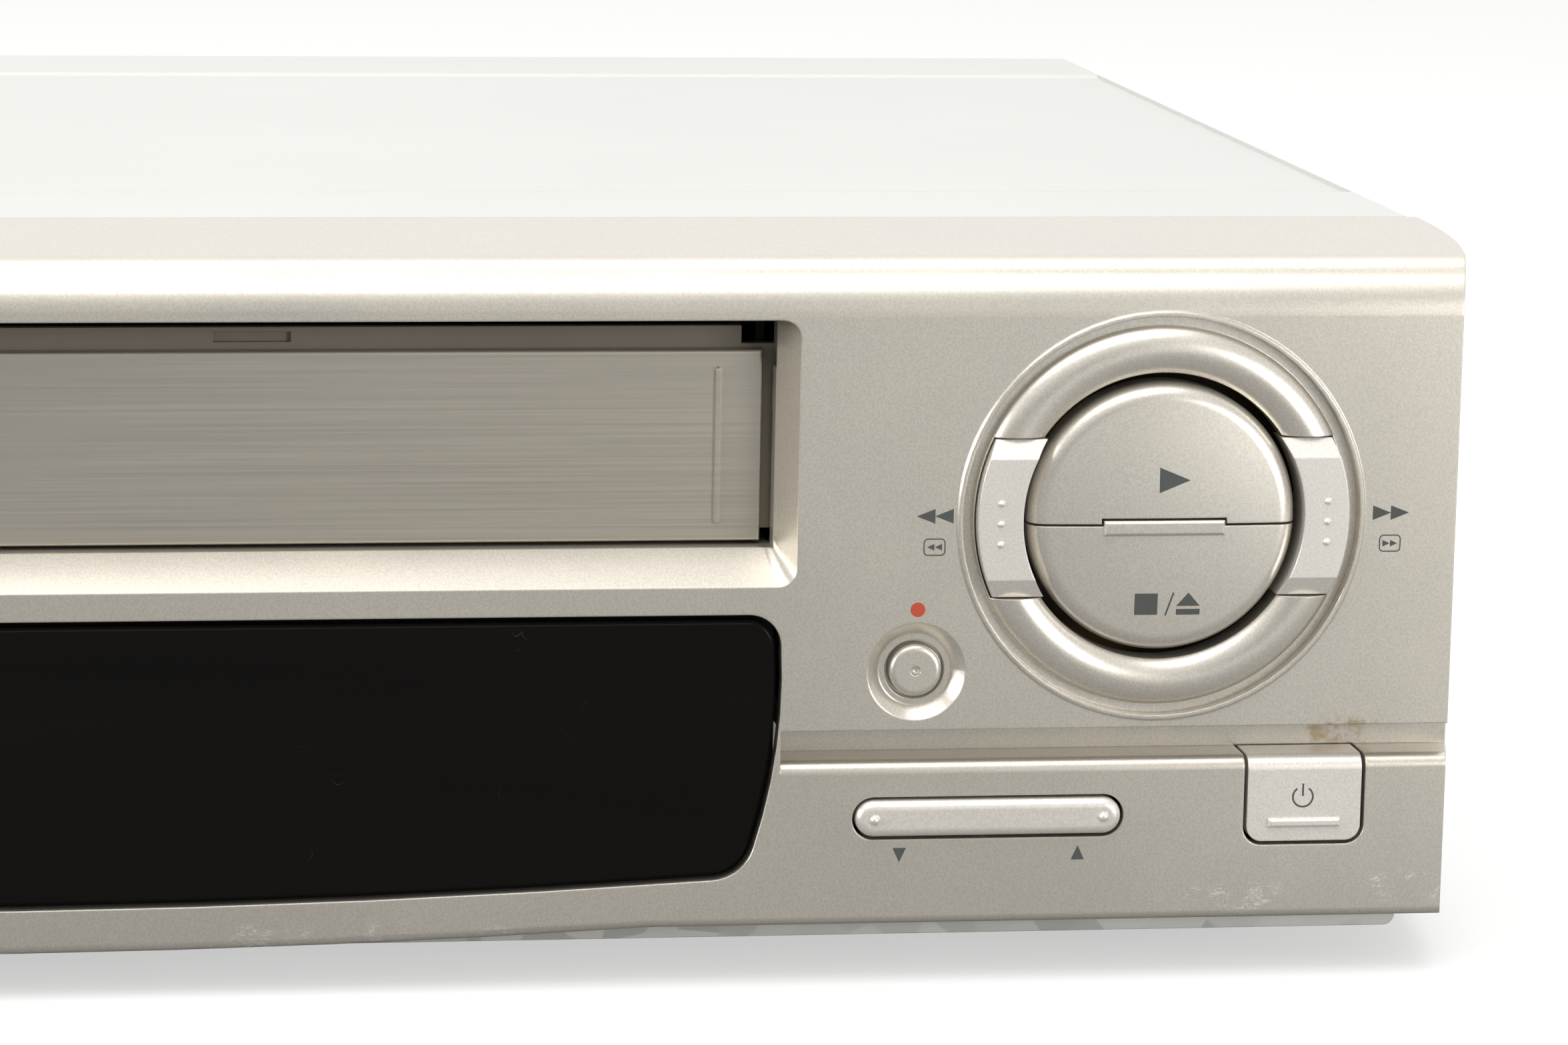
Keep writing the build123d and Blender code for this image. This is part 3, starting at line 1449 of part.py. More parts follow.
def make_tension_arm():
    length, heading = toward(tension_pivot, tension_post)
    here = Pos(tension_pivot[0], face_y + tension_pivot[1], tension_level) * Rot(0, 0, heading)
    wide, thick = tension_arm
    arm = here * Pos(length / 2, 0, thick / 2) * Box(length, wide, thick)
    arm += rod_z(*tension_pivot, deck_top + float_gap, tension_level + tension_boss, tension_boss_radius)
    arm += rod_z(*tension_post, tension_level, post_top, tension_tip)
    return arm - rod_z(*tension_pivot, 0, height, tension_pin + shaft_gap)


def make_pinch_arm():
    length, heading = toward(pinch_pivot, pinch_roller_at)
    here = Pos(pinch_pivot[0], face_y + pinch_pivot[1], pinch_level) * Rot(0, 0, heading)
    wide, thick = pinch_arm
    arm = here * Pos(length / 2, 0, thick / 2) * Box(length, wide, thick)
    arm += rod_z(*pinch_pivot, deck_top + float_gap, pinch_level + pinch_boss, pinch_boss_radius)
    arm += rod_z(*pinch_roller_at, pinch_level, pinch_level + thick, pinch_boss_radius)
    arm += rod_z(*pinch_roller_at, pinch_level + boss_root, capstan_top - pin_above, pinch_spindle)
    return arm - rod_z(*pinch_pivot, 0, height, pinch_pin + shaft_gap)


def make_pinch_roller():
    low = pinch_level + pinch_arm[1] + float_gap
    roller = rod_z(*pinch_roller_at, low, capstan_top - pinch_roller_under, pinch_roller_radius)
    roller = chamfer(roller.edges(), pinch_roller_edge)
    return roller - rod_z(*pinch_roller_at, 0, height, pinch_spindle + shaft_gap)


# ------------------------------------------------------------------ loading drive
def worm_depth():
    return cam_at[1] + cam_radius + worm_gap + worm_radius


def worm_height():
    return (cam_low + cam_top) / 2


def make_cam_gear():
    gear = Pos(cam_at[0], face_y + cam_at[1], cam_low) * extrude(
        toothed_disc(cam_radius, cam_teeth, cam_tooth), amount=cam_top - cam_low)
    gear += rod_z(*cam_at, deck_top + float_gap, cam_low + boss_root, cam_boss)
    outer, inner, deep = cam_track
    track = rod_z(*cam_at, cam_top - deep, cam_top + 1, outer) - rod_z(*cam_at, 0, height, inner)
    return gear - track - rod_z(*cam_at, 0, height, cam_pin + shaft_gap)


def make_worm():
    depth = worm_depth()
    z = worm_height()
    worm = rod_x(depth, z, worm_left, worm_right, worm_core)
    pitch = (worm_right - worm_left) / worm_turns
    for turn in range(worm_turns):
        x = worm_left + (turn + 0.5) * pitch
        ridge_half = pitch * worm_ridge / 2
        worm += rod_x(depth, z, x - ridge_half, x + ridge_half, worm_radius)
    return worm + rod_x(depth, z, motor_right - worm_shaft_in, worm_right + worm_shaft_out, worm_shaft)


def make_loading_motor():
    depth = worm_depth()
    z = worm_height()
    motor = rod_x(depth, z, motor_left, motor_right, motor_radius)
    motor = fillet(motor.edges(), motor_edge)
    inset, half = motor_cradle
    motor += block(motor_left + inset, motor_right - inset, depth - half, depth + half, deck_top, z)
    return motor - rod_x(depth, z, motor_right - worm_shaft_in - float_gap, motor_right + 1,
                         worm_shaft + shaft_gap)


# ------------------------------------------------------------------ every piece by name
pieces = {
    "front_bezel": make_front_bezel,
    "display_window": make_display_window,
    "dial_ring": make_dial_ring,
    "top_cover": make_top_cover,
    "bottom_plate": make_bottom_plate,
    "rear_panel": make_rear_panel,
    "feet": make_feet,
    "cover_screws": make_cover_screws,
    "front_board": make_front_board,
    "key_switches": make_key_switches,
    "display_tube": make_display_tube,
    "main_board": make_main_board,
    "deck_posts": make_deck_posts,
    "transformer": make_transformer,
    "power_capacitors": make_power_capacitors,
    "main_chips": make_main_chips,
    "tuner_box": make_tuner_box,
    "aerial_sockets": make_aerial_sockets,
    "av_jacks": make_av_jacks,
    "mains_inlet": make_mains_inlet,
    "door_flap": make_door_flap,
    "door_plate": make_door_plate,
    "door_spring": make_door_spring,
    "play_button": make_play_button,
    "stop_button": make_stop_button,
    "rewind_button": lambda: make_arc_button(-1),
    "forward_button": lambda: make_arc_button(1),
    "record_button": make_record_button,
    "channel_rocker": make_channel_rocker,
    "power_button": make_power_button,
    "deck_plate": make_deck_plate,
    "lift_frame": make_lift_frame,
    "lift_slider": make_lift_slider,
    "cassette_basket": make_cassette_basket,
    "lift_gear": make_lift_gear,
    "supply_reel": lambda: make_reel(-1),
    "take_up_reel": lambda: make_reel(1),
    "clutch_pulley": make_clutch_pulley,
    "idler_arm": make_idler_arm,
    "idler_gear": make_idler_gear,
    "drive_belt": make_drive_belt,
    "capstan": make_capstan,
    "capstan_housing": make_capstan_housing,
    "lower_drum": make_lower_drum,
    "drum_stator": make_drum_stator,
    "drum_rotor": make_drum_rotor,
    "upper_drum": make_upper_drum,
    "guide_rails": make_guide_rails,
    "supply_guide": lambda: make_tape_guide(-1),
    "take_up_guide": lambda: make_tape_guide(1),
    "guide_posts": make_guide_posts,
    "tension_arm": make_tension_arm,
    "erase_head": make_erase_head,
    "audio_head": make_audio_head,
    "pinch_arm": make_pinch_arm,
    "pinch_roller": make_pinch_roller,
    "cam_gear": make_cam_gear,
    "worm": make_worm,
    "loading_motor": make_loading_motor,
}

for node, make in pieces.items():
    export_step(make(), f"parts/{node}.step")
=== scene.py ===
"""Looks for a silver video cassette recorder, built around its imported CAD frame. Metres, +Z up."""

import math

import bmesh
import bpy
from mathutils import Matrix, Vector
from mathutils.bvhtree import BVHTree
from mathutils.geometry import delaunay_2d_cdt


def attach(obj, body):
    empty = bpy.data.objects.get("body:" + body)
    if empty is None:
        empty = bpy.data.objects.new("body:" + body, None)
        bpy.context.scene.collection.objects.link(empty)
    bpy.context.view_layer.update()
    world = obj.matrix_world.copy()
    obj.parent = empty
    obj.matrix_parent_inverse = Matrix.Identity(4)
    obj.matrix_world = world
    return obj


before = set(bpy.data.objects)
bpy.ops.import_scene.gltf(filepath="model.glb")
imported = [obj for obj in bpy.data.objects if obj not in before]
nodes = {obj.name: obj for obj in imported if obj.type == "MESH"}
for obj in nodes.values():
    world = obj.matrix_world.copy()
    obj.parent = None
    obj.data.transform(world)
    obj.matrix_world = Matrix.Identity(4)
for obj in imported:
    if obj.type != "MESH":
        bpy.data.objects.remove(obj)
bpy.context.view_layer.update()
scene = bpy.context.scene
MM = 0.001
FACE_Y = -137.0            # the front face, in millimetres
WHITE = (1.0, 1.0, 1.0)


def at(x, depth, z):
    """A point given as the CAD gives it: across, behind the front face, up, in millimetres."""
    return Vector((x * MM, (FACE_Y + depth) * MM, z * MM))


# ---------------------------------------------------------------- camera and light
FOCAL_PIXELS = 7329.0
IMAGE_WIDTH = 2352.0
SENSOR = 36.0
SHIFT = 0.12               # of the frame's width, to the right and down
CAMERA_BEFORE, CAMERA_HEIGHT = 600.0, 177.75     # millimetres before the front face and up
YAW, PITCH, ROLL = 6.868, 8.732, 0.839
LAMP_COLOUR = (1.0, 0.985, 0.96)
DECK = (0.05, -0.08, 0.05)     # where the overhead lamps aim

camera_data = bpy.data.cameras.new("photo_camera")
camera_data.sensor_width = SENSOR
camera_data.lens = FOCAL_PIXELS * SENSOR / IMAGE_WIDTH
camera_data.shift_x = SHIFT
camera_data.shift_y = -SHIFT
camera_data.clip_start = 0.01
camera_data.dof.use_dof = False
camera = bpy.data.objects.new("photo_camera", camera_data)
scene.collection.objects.link(camera)
camera.matrix_world = (
    Matrix.Translation(at(0, -CAMERA_BEFORE, CAMERA_HEIGHT))
    @ Matrix.Rotation(math.radians(-YAW), 4, "Z")
    @ Matrix.Rotation(math.radians(90 - PITCH), 4, "X")
    @ Matrix.Rotation(math.radians(ROLL), 4, "Z")
)
scene.camera = camera
scene.view_settings.view_transform = "Standard"


def softbox(name, place, target, size, energy):
    """A rectangular lamp that the camera doesn't see: metres and watts."""
    data = bpy.data.lights.new(name, "AREA")
    data.shape = "RECTANGLE"
    data.size, data.size_y = size
    data.energy = energy
    data.color = LAMP_COLOUR
    lamp = bpy.data.objects.new(name, data)
    lamp.visible_camera = False
    scene.collection.objects.link(lamp)
    lamp.location = place
    lamp.rotation_euler = (Vector(target) - Vector(place)).to_track_quat("-Z", "Y").to_euler()


softbox("key_box", (-0.1, -0.52, 1.2), DECK, (1.3, 0.8), 8.0)
softbox("top_box", (0.0, 0.42, 1.2), DECK, (1.3, 0.7), 3.6)
softbox("right_box", (0.85, -1.0, 0.2), (0.15, -0.12, 0.05), (0.5, 0.4), 4.6)
softbox("left_box", (-1.1, -0.45, 0.35), (0.05, -0.1, 0.05), (0.5, 0.5), 7.5)


class Tree:
    """A node tree with short ways to add and join nodes."""

    def __init__(self, tree):
        self.tree = tree
        tree.nodes.clear()

    def add(self, kind, **values):
        node = self.tree.nodes.new(kind)
        for key, value in values.items():
            setattr(node, key, value)
        return node

    def put(self, node, **inputs):
        """Sets or links inputs; a name's underscores stand for spaces."""
        for key, value in inputs.items():
            socket = node.inputs[key.replace("_", " ")]
            if isinstance(value, bpy.types.NodeSocket):
                self.tree.links.new(value, socket)
            else:
                socket.default_value = value
        return node

    def math(self, operation, first, second=0.0):
        node = self.add("ShaderNodeMath", operation=operation)
        for socket, value in zip(node.inputs, (first, second)):
            if isinstance(value, bpy.types.NodeSocket):
                self.tree.links.new(value, socket)
            else:
                socket.default_value = value
        return node.outputs[0]

    def mix(self, factor, first, second, blend="MIX"):
        node = self.add("ShaderNodeMix", data_type="RGBA", blend_type=blend)
        for index, value in ((0, factor), (6, first), (7, second)):
            socket = node.inputs[index]
            if isinstance(value, bpy.types.NodeSocket):
                self.tree.links.new(value, socket)
            elif index == 0:
                socket.default_value = value
            else:
                socket.default_value = (*value, 1.0)
        return node.outputs[2]

    def ramp(self, value, low, high, out_low=0.0, out_high=1.0, smooth=True):
        """The value from low to high turned into out_low to out_high, and held beyond them."""
        node = self.add("ShaderNodeMapRange", interpolation_type="SMOOTHSTEP" if smooth else "LINEAR")
        self.put(node, Value=value, From_Min=low, From_Max=high, To_Min=out_low, To_Max=out_high)
        return node.outputs[0]

    def noise(self, vector, scale, detail=2.0, roughness=0.5, distortion=0.0):
        node = self.add("ShaderNodeTexNoise")
        self.put(node, Vector=vector, Scale=scale, Detail=detail, Roughness=roughness,
                 Distortion=distortion)
        return node.outputs[0]

    def place(self, scale=(1.0, 1.0, 1.0), rotation=(0.0, 0.0, 0.0)):
        """The object's own coordinates, stretched and turned."""
        coordinates = self.add("ShaderNodeTexCoord").outputs["Object"]
        mapping = self.add("ShaderNodeMapping")
        self.put(mapping, Vector=coordinates, Scale=scale, Rotation=rotation)
        return mapping.outputs[0]

    def mirror(self, path):
        """1 for rays that reach here off a mirror or through glass."""
        return self.math("MAXIMUM", path.outputs["Is Glossy Ray"], path.outputs["Is Transmission Ray"])


def make_world():
    """A studio that lights softly from above and the right, and is white where the camera sees it."""
    world = bpy.data.worlds.new("studio")
    scene.world = world
    world.use_nodes = True
    t = Tree(world.node_tree)
    direction = t.add("ShaderNodeSeparateXYZ")
    t.put(direction, Vector=t.add("ShaderNodeTexCoord").outputs["Generated"])
    up = t.ramp(direction.outputs["Z"], 0.1, 0.65)
    right = t.ramp(direction.outputs["X"], 0.05, 0.6)
    back = t.ramp(direction.outputs["Y"], 0.0, 0.35)
    front = t.mix(right, (0.30, 0.29, 0.275), (0.75, 0.74, 0.72))
    room = t.mix(up, front, (0.80, 0.80, 0.79))
    path = t.add("ShaderNodeLightPath")
    seen = t.math("MAXIMUM", path.outputs["Is Camera Ray"], t.math("MULTIPLY", t.mirror(path), back))
    shade = t.mix(seen, room, WHITE)
    background = t.put(t.add("ShaderNodeBackground"), Color=shade, Strength=1.0)
    t.put(t.add("ShaderNodeOutputWorld"), Surface=background.outputs[0])


def make_floor():
    """A wide pale floor that keeps the shadow; in gloss it is darker near the deck and to the left."""
    half = 3.0
    corners = [(-half, -half, 0), (half, -half, 0), (half, half, 0), (-half, half, 0)]
    mesh = bpy.data.meshes.new("floor")
    mesh.from_pydata(corners, [], [(0, 1, 2, 3)])
    floor = bpy.data.objects.new("floor", mesh)
    scene.collection.objects.link(floor)
    material = bpy.data.materials.new("floor_paper")
    material.use_nodes = True
    t = Tree(material.node_tree)
    path = t.add("ShaderNodeLightPath")
    grain = t.noise(t.place(), 900.0, 3.0)
    seen_paper = t.mix(grain, (0.47, 0.47, 0.465), (0.51, 0.51, 0.505))
    shade = t.mix(path.outputs["Is Camera Ray"], (0.2, 0.2, 0.197), seen_paper)
    paper = t.put(t.add("ShaderNodeBsdfDiffuse"), Color=shade)
    split = t.put(t.add("ShaderNodeSeparateXYZ"), Vector=t.place())
    rightward = t.ramp(split.outputs["X"], 0.12, 0.5, 0.08, 0.5)
    away = t.ramp(split.outputs["Y"], -1.3, -0.35, 0.5, 0.05)
    in_gloss = t.math("MULTIPLY", t.mirror(path), t.math("MAXIMUM", rightward, away))
    to_camera = t.math("MULTIPLY", path.outputs["Is Camera Ray"], 0.53)
    glow = t.put(t.add("ShaderNodeEmission"), Strength=t.math("MAXIMUM", to_camera, in_gloss))
    both = t.add("ShaderNodeAddShader")
    t.tree.links.new(paper.outputs[0], both.inputs[0])
    t.tree.links.new(glow.outputs[0], both.inputs[1])
    t.put(t.add("ShaderNodeOutputMaterial"), Surface=both.outputs[0])
    mesh.materials.append(material)


make_world()
make_floor()


# ---------------------------------------------------------------- materials
# Worn and stained places, and places of painted shade, as the photograph shows them: across, then up, in
# millimetres.
SCUFFED = (((27, 38), (6.8, 8.6)), ((45, 52), (7.0, 8.8)), ((59.5, 62.5), (7.2, 8.6)),
           ((151, 162), (9.7, 11.8)), ((175.5, 184), (10.9, 13.2)))
STAINED = ((168.0, 173.0), (30.0, 33.2))     # in the groove over the power key
# Painted shade: where a dark patch is painted inside the slot's right edge, and how deep into the slot it
# lies.
SLOT_PAINTED_SHADE = ((92.0, 100.0), (54.0, 88.0))      # inside the slot's right edge
SLOT_PAINTED_SHADE_DEPTH = (FACE_Y + 7.6, FACE_Y + 12.0)
# A painted shade line lies along this crease.
CREASE_DEPTH = (FACE_Y + 71.5, FACE_Y + 72.6)     # the front edge of the cover's pressed panel


class Finish(Tree):
    """One procedural finish: a Principled shader with its colour, roughness and relief."""

    def __init__(self, name, metallic=0.0, coat=0.0, coat_roughness=0.1, specular=0.5, anisotropic=0.0):
        self.material = bpy.data.materials.new(name)
        self.material.use_nodes = True
        super().__init__(self.material.node_tree)
        self.shader = self.add("ShaderNodeBsdfPrincipled")
        self.put(self.shader, Metallic=metallic, Coat_Weight=coat, Coat_Roughness=coat_roughness,
                 Specular_IOR_Level=specular, Anisotropic=anisotropic)
        self.put(self.add("ShaderNodeOutputMaterial"), Surface=self.shader.outputs[0])

    def colour(self, value):
        self.put(self.shader, Base_Color=value)

    def inside(self, axis, low, high, soft):
        """1 between two places along an axis, in millimetres, and 0 a soft edge beyond them."""
        if not hasattr(self, "split"):
            self.split = self.add("ShaderNodeSeparateXYZ")
            self.put(self.split, Vector=self.add("ShaderNodeTexCoord").outputs["Object"])
        value = self.split.outputs[axis]
        rise = self.ramp(value, (low - soft) * MM, low * MM)
        fall = self.ramp(value, high * MM, (high + soft) * MM, 1.0, 0.0)
        return self.math("MULTIPLY", rise, fall)

    def patch(self, x, z, soft):
        """A soft-edged rectangle on the front, between two places across and two up."""
        return self.math("MULTIPLY", self.inside("X", *x, soft), self.inside("Z", *z, soft))

    def rough(self, low, high, value):
        self.put(self.shader, Roughness=self.ramp(value, 0.25, 0.75, low, high, smooth=False))

    def relief(self, height, depth, strength, edge):
        """Bump from a height texture, in millimetres, over edges softened by a bevel radius."""
        bevel = self.put(self.add("ShaderNodeBevel", samples=4), Radius=edge * MM)
        bump = self.put(self.add("ShaderNodeBump"), Height=height, Distance=depth * MM, Strength=strength,
                        Normal=bevel.outputs[0])
        self.put(self.shader, Normal=bump.outputs[0])


def shades(colour, spread):
    """A colour darkened and lightened by a share of itself."""
    return tuple(c * (1 - spread) for c in colour), tuple(min(c * (1 + spread), 1.0) for c in colour)


def scuffs(f):
    """Where the lower edge of the front is scratched: thin strokes in a few worn patches."""
    strokes = f.noise(f.place(scale=(420.0, 60.0, 1500.0), rotation=(0.0, 0.32, 0.0)), 1.0, 2.0, 0.6, 0.7)
    thin = f.ramp(f.math("ABSOLUTE", f.math("SUBTRACT", strokes, 0.5)), 0.012, 0.03, 1.0, 0.0)
    chips = f.ramp(f.noise(f.place(scale=(1.0, 1.0, 2.2)), 620.0, 3.0, 0.6), 0.58, 0.64)
    sparse = f.ramp(f.noise(f.place(), 260.0, 2.0), 0.46, 0.6)
    area = None
    for x, z in SCUFFED:
        patch = f.patch(x, z, 1.5)
        area = patch if area is None else f.math("MAXIMUM", area, patch)
    marks = f.math("MAXIMUM", thin, f.math("MULTIPLY", chips, 0.8))
    return f.math("MULTIPLY", f.math("MULTIPLY", marks, sparse), area)


def silver_paint(name, colour, edge=0.3, metallic=0.8, rough=(0.285, 0.35), worn=False):
    """Warm silver paint with fine metal flake under a thin lacquer. When worn, it also gets scuffs, a
    stain, and painted shade inside the slot's right edge.
    """
    f = Finish(name, metallic=metallic, coat=0.12, coat_roughness=0.25)
    place = f.place()
    flake = f.noise(place, 3600.0, 1.0, 0.6)
    cloud = f.noise(place, 38.0, 3.0, 0.55)
    dark, light = shades(colour, 0.07)
    sparkle = f.mix(f.ramp(flake, 0.3, 0.7), dark, light)
    low = shades(WHITE, 0.035)[0]
    paint = f.mix(1.0, sparkle, f.mix(cloud, low, (1.0, 0.99, 0.97)), blend="MULTIPLY")
    if worn:
        paint = f.mix(scuffs(f), paint, (0.93, 0.92, 0.88))
        stain = f.math("MULTIPLY", f.patch(*STAINED, 2.5),
                       f.ramp(f.noise(place, 420.0, 4.0, 0.6), 0.42, 0.62))
        paint = f.mix(f.math("MULTIPLY", stain, 0.7), paint, (0.40, 0.27, 0.10))
        # Painted shade: dark blotches on the slot's inner wall by its right edge, where the slot's corner
        # lies in shade.
        slot_shade = f.math("MULTIPLY", f.patch(*SLOT_PAINTED_SHADE, 0.6),
                       f.ramp(f.noise(f.place(scale=(1.0, 1.0, 0.5)), 300.0, 4.0, 0.7), 0.5, 0.68))
        inner = f.inside("Y", *SLOT_PAINTED_SHADE_DEPTH, 0.6)
        paint = f.mix(f.math("MULTIPLY", slot_shade, inner), paint, (0.10, 0.105, 0.06))
    f.colour(paint)
    f.rough(*rough, cloud)
    f.relief(flake, 0.006, 0.25, edge)
    return f


def moulded(name, colour, rough=(0.42, 0.55), grain=1400.0, depth=0.012, edge=0.2, specular=0.45):
    """Moulded plastic with a fine grain and faint clouds of wear."""
    f = Finish(name, specular=specular)
    place = f.place()
    cloud = f.noise(place, 55.0, 4.0, 0.6)
    dark, light = shades(colour, 0.12)
    f.colour(f.mix(cloud, dark, light))
    f.rough(*rough, cloud)
    f.relief(f.noise(place, grain, 2.0), depth, 0.6, edge)
    return f


def zinc_sheet(name, colour):
    """Zinc-plated sheet: a soft spangle of large crystals."""
    f = Finish(name, metallic=0.85)
    place = f.place()
    cells = f.add("ShaderNodeTexVoronoi")
    f.put(cells, Vector=place, Scale=160.0, Randomness=1.0)
    grey = f.add("ShaderNodeRGBToBW")
    f.put(grey, Color=cells.outputs["Color"])
    spangle = grey.outputs[0]
    dark, light = shades(colour, 0.10)
    f.colour(f.mix(spangle, dark, light))
    f.rough(0.36, 0.5, spangle)
    f.relief(f.noise(place, 700.0, 2.0), 0.008, 0.4, 0.15)
    return f


def turned_metal(name, colour, axis="Z", rough=(0.285, 0.36)):
    """Metal off a lathe: fine rings along one axis."""
    f = Finish(name, metallic=1.0)
    wave = f.add("ShaderNodeTexWave", wave_type="BANDS", bands_direction=axis)
    f.put(wave, Vector=f.place(), Scale=420.0, Distortion=0.6, Detail=2.0, Detail_Scale=3.0)
    fine = wave.outputs["Fac"]
    dark, light = shades(colour, 0.07)
    f.colour(f.mix(fine, dark, light))
    f.rough(*rough, fine)
    f.relief(fine, 0.004, 0.4, 0.12)
    return f


def cover_paint():
    """Off-white textured paint on the pressed steel cover, with a painted shade line along the crease at
    the front of its pressed panel.
    """
    f = Finish("cover_paint", metallic=0.12, specular=0.4)
    place = f.place()
    grit = f.noise(place, 1500.0, 3.0, 0.65)
    cloud = f.noise(place, 14.0, 5.0, 0.6)
    dark, light = (0.61, 0.622, 0.60), (0.67, 0.68, 0.656)
    paint = f.mix(1.0, f.mix(cloud, dark, light), f.mix(grit, (0.95, 0.95, 0.95), WHITE),
                  blend="MULTIPLY")
    # Painted shade: a darker, patchy line along the crease that stands in for the shading of the panel's
    # step.
    crease = f.inside("Y", *CREASE_DEPTH, 0.5)
    crease_shade = f.ramp(f.noise(f.place(scale=(0.25, 1.0, 1.0)), 160.0, 4.0, 0.65), 0.35, 0.65, 0.25, 0.6)
    f.colour(f.mix(f.math("MULTIPLY", crease, crease_shade), paint, (0.42, 0.41, 0.37)))
    f.rough(0.46, 0.58, grit)
    f.relief(grit, 0.03, 0.35, 0.3)
    return f


def door_facing():
    """Brushed taupe facing: long horizontal strokes, cloudy bands and a few amber specks."""
    f = Finish("door_facing", metallic=0.8, anisotropic=0.45)
    strokes = f.noise(f.place(scale=(14.0, 900.0, 2400.0)), 1.0, 4.0, 0.7)
    bands = f.noise(f.place(scale=(6.0, 30.0, 140.0)), 1.0, 4.0, 0.6)
    spots = f.noise(f.place(scale=(1.0, 1.0, 1.6)), 120.0, 2.0, 0.5)
    base = f.mix(strokes, (0.43, 0.40, 0.345), (0.60, 0.565, 0.50))
    base = f.mix(1.0, base, f.mix(bands, (0.86, 0.85, 0.84), WHITE), blend="MULTIPLY")
    f.colour(f.mix(f.ramp(spots, 0.76, 0.84), base, (0.50, 0.36, 0.20)))
    f.rough(0.30, 0.44, strokes)
    f.relief(strokes, 0.008, 0.5, 0.25)
    return f


def smoked_window():
    """Glossy black acrylic with a faint film and a few white specks of dust and lint."""
    f = Finish("smoked_window", specular=0.1)
    place = f.place()
    dust = f.add("ShaderNodeTexVoronoi")
    f.put(dust, Vector=f.place(scale=(1.0, 0.2, 1.0)), Scale=110.0, Randomness=1.0)
    speck = f.ramp(dust.outputs["Distance"], 0.026, 0.045, 1.0, 0.0)
    sparse = f.ramp(f.noise(place, 60.0, 1.0), 0.56, 0.62)
    lint_line = f.noise(f.place(scale=(1.0, 0.2, 1.0)), 210.0, 0.0, 0.5, 1.4)
    thread = f.ramp(f.math("ABSOLUTE", f.math("SUBTRACT", lint_line, 0.5)), 0.0, 0.006, 1.0, 0.0)
    lint = f.math("MULTIPLY", thread, f.ramp(f.noise(place, 95.0, 1.0), 0.66, 0.72))
    marks = f.math("MAXIMUM", f.math("MULTIPLY", speck, sparse), f.math("MULTIPLY", lint, 0.5))
    film = f.noise(f.place(scale=(9.0, 9.0, 60.0)), 1.0, 3.0)
    deep = f.mix(film, (0.0030, 0.0030, 0.0032), (0.0075, 0.0062, 0.0055))
    f.colour(f.mix(marks, deep, (0.16, 0.16, 0.15)))
    f.rough(0.05, 0.11, film)
    f.relief(f.noise(place, 40.0, 2.0), 0.01, 0.25, 0.25)
    return f


def circuit_board():
    """Brown phenolic board with lighter tracks under its lacquer."""
    f = Finish("board", specular=0.5)
    place = f.place()
    tracks = f.add("ShaderNodeTexBrick", offset=0.37)
    f.put(tracks, Vector=place, Scale=90.0, Mortar_Size=0.035, Mortar_Smooth=0.1, Brick_Width=0.9,
          Row_Height=0.28)
    lines = tracks.outputs["Fac"]
    cloud = f.noise(place, 120.0, 3.0)
    base = f.mix(cloud, (0.20, 0.115, 0.045), (0.29, 0.175, 0.075))
    f.colour(f.mix(f.math("MULTIPLY", lines, 0.55), base, (0.16, 0.20, 0.07)))
    f.rough(0.28, 0.45, cloud)
    f.relief(lines, 0.05, 0.4, 0.1)
    return f


def dress(names, finish):
    """Gives CAD nodes one finish."""
    for name in names.split():
        mesh = nodes[name].data
        mesh.materials.clear()
        mesh.materials.append(finish.material)


SILVER = (0.70, 0.665, 0.60)
KEY_SILVER = (0.74, 0.705, 0.64)
# A lighter copy of the key silver: painted highlight.
LIT_KEY_SILVER = (0.86, 0.835, 0.785)
dress("front_bezel", silver_paint("silver_bezel", SILVER, worn=True))
dress("dial_ring play_button stop_button record_button",
      silver_paint("silver_keys", KEY_SILVER, edge=0.25, rough=(0.285, 0.33)))
# Painted highlight: these four keys take a lighter copy of the key silver, which stands in for the light
# they catch.
dress("rewind_button forward_button channel_rocker power_button",
      silver_paint("lit_silver_keys", LIT_KEY_SILVER, edge=0.25, metallic=0.55, rough=(0.285, 0.34)))
dress("top_cover", cover_paint())
dress("door_plate", door_facing())
dress("display_window", smoked_window())
dress("bottom_plate deck_plate deck_posts lift_frame cassette_basket tuner_box tension_arm pinch_arm",
      zinc_sheet("zinc_steel", (0.60, 0.60, 0.575)))
dress("rear_panel", moulded("rear_steel", (0.50, 0.50, 0.485), rough=(0.4, 0.5), grain=1800.0, depth=0.02))
dress("feet drive_belt pinch_roller", moulded("black_rubber", (0.028, 0.028, 0.028), rough=(0.62, 0.8),
                                              grain=900.0, depth=0.03))
dress("cover_screws", turned_metal("screw_steel", (0.20, 0.195, 0.19), axis="Y", rough=(0.3, 0.45)))
dress("door_flap", moulded("grey_plastic", (0.205, 0.18, 0.145)))
dress("key_switches power_capacitors main_chips av_jacks mains_inlet clutch_pulley idler_arm drum_stator "
      "guide_rails", moulded("dark_plastic", (0.030, 0.030, 0.031)))
dress("lift_slider lift_gear supply_reel take_up_reel idler_gear cam_gear",
      moulded("white_acetal", (0.74, 0.725, 0.67), rough=(0.36, 0.46), specular=0.5))
dress("front_board main_board", circuit_board())
dress("display_tube", moulded("tube_glass", (0.045, 0.06, 0.058), rough=(0.05, 0.09), grain=300.0,
                              depth=0.002, specular=0.6))
dress("transformer", moulded("core_tape", (0.62, 0.47, 0.10), rough=(0.3, 0.4), grain=500.0))
dress("aerial_sockets erase_head audio_head guide_posts loading_motor",
      turned_metal("nickel", (0.66, 0.64, 0.59), axis="Y", rough=(0.16, 0.25)))
dress("door_spring capstan drum_rotor",
      turned_metal("spring_steel", (0.52, 0.52, 0.52), rough=(0.285, 0.34)))
dress("lower_drum upper_drum", turned_metal("drum_aluminium", (0.78, 0.78, 0.78), rough=(0.12, 0.22)))
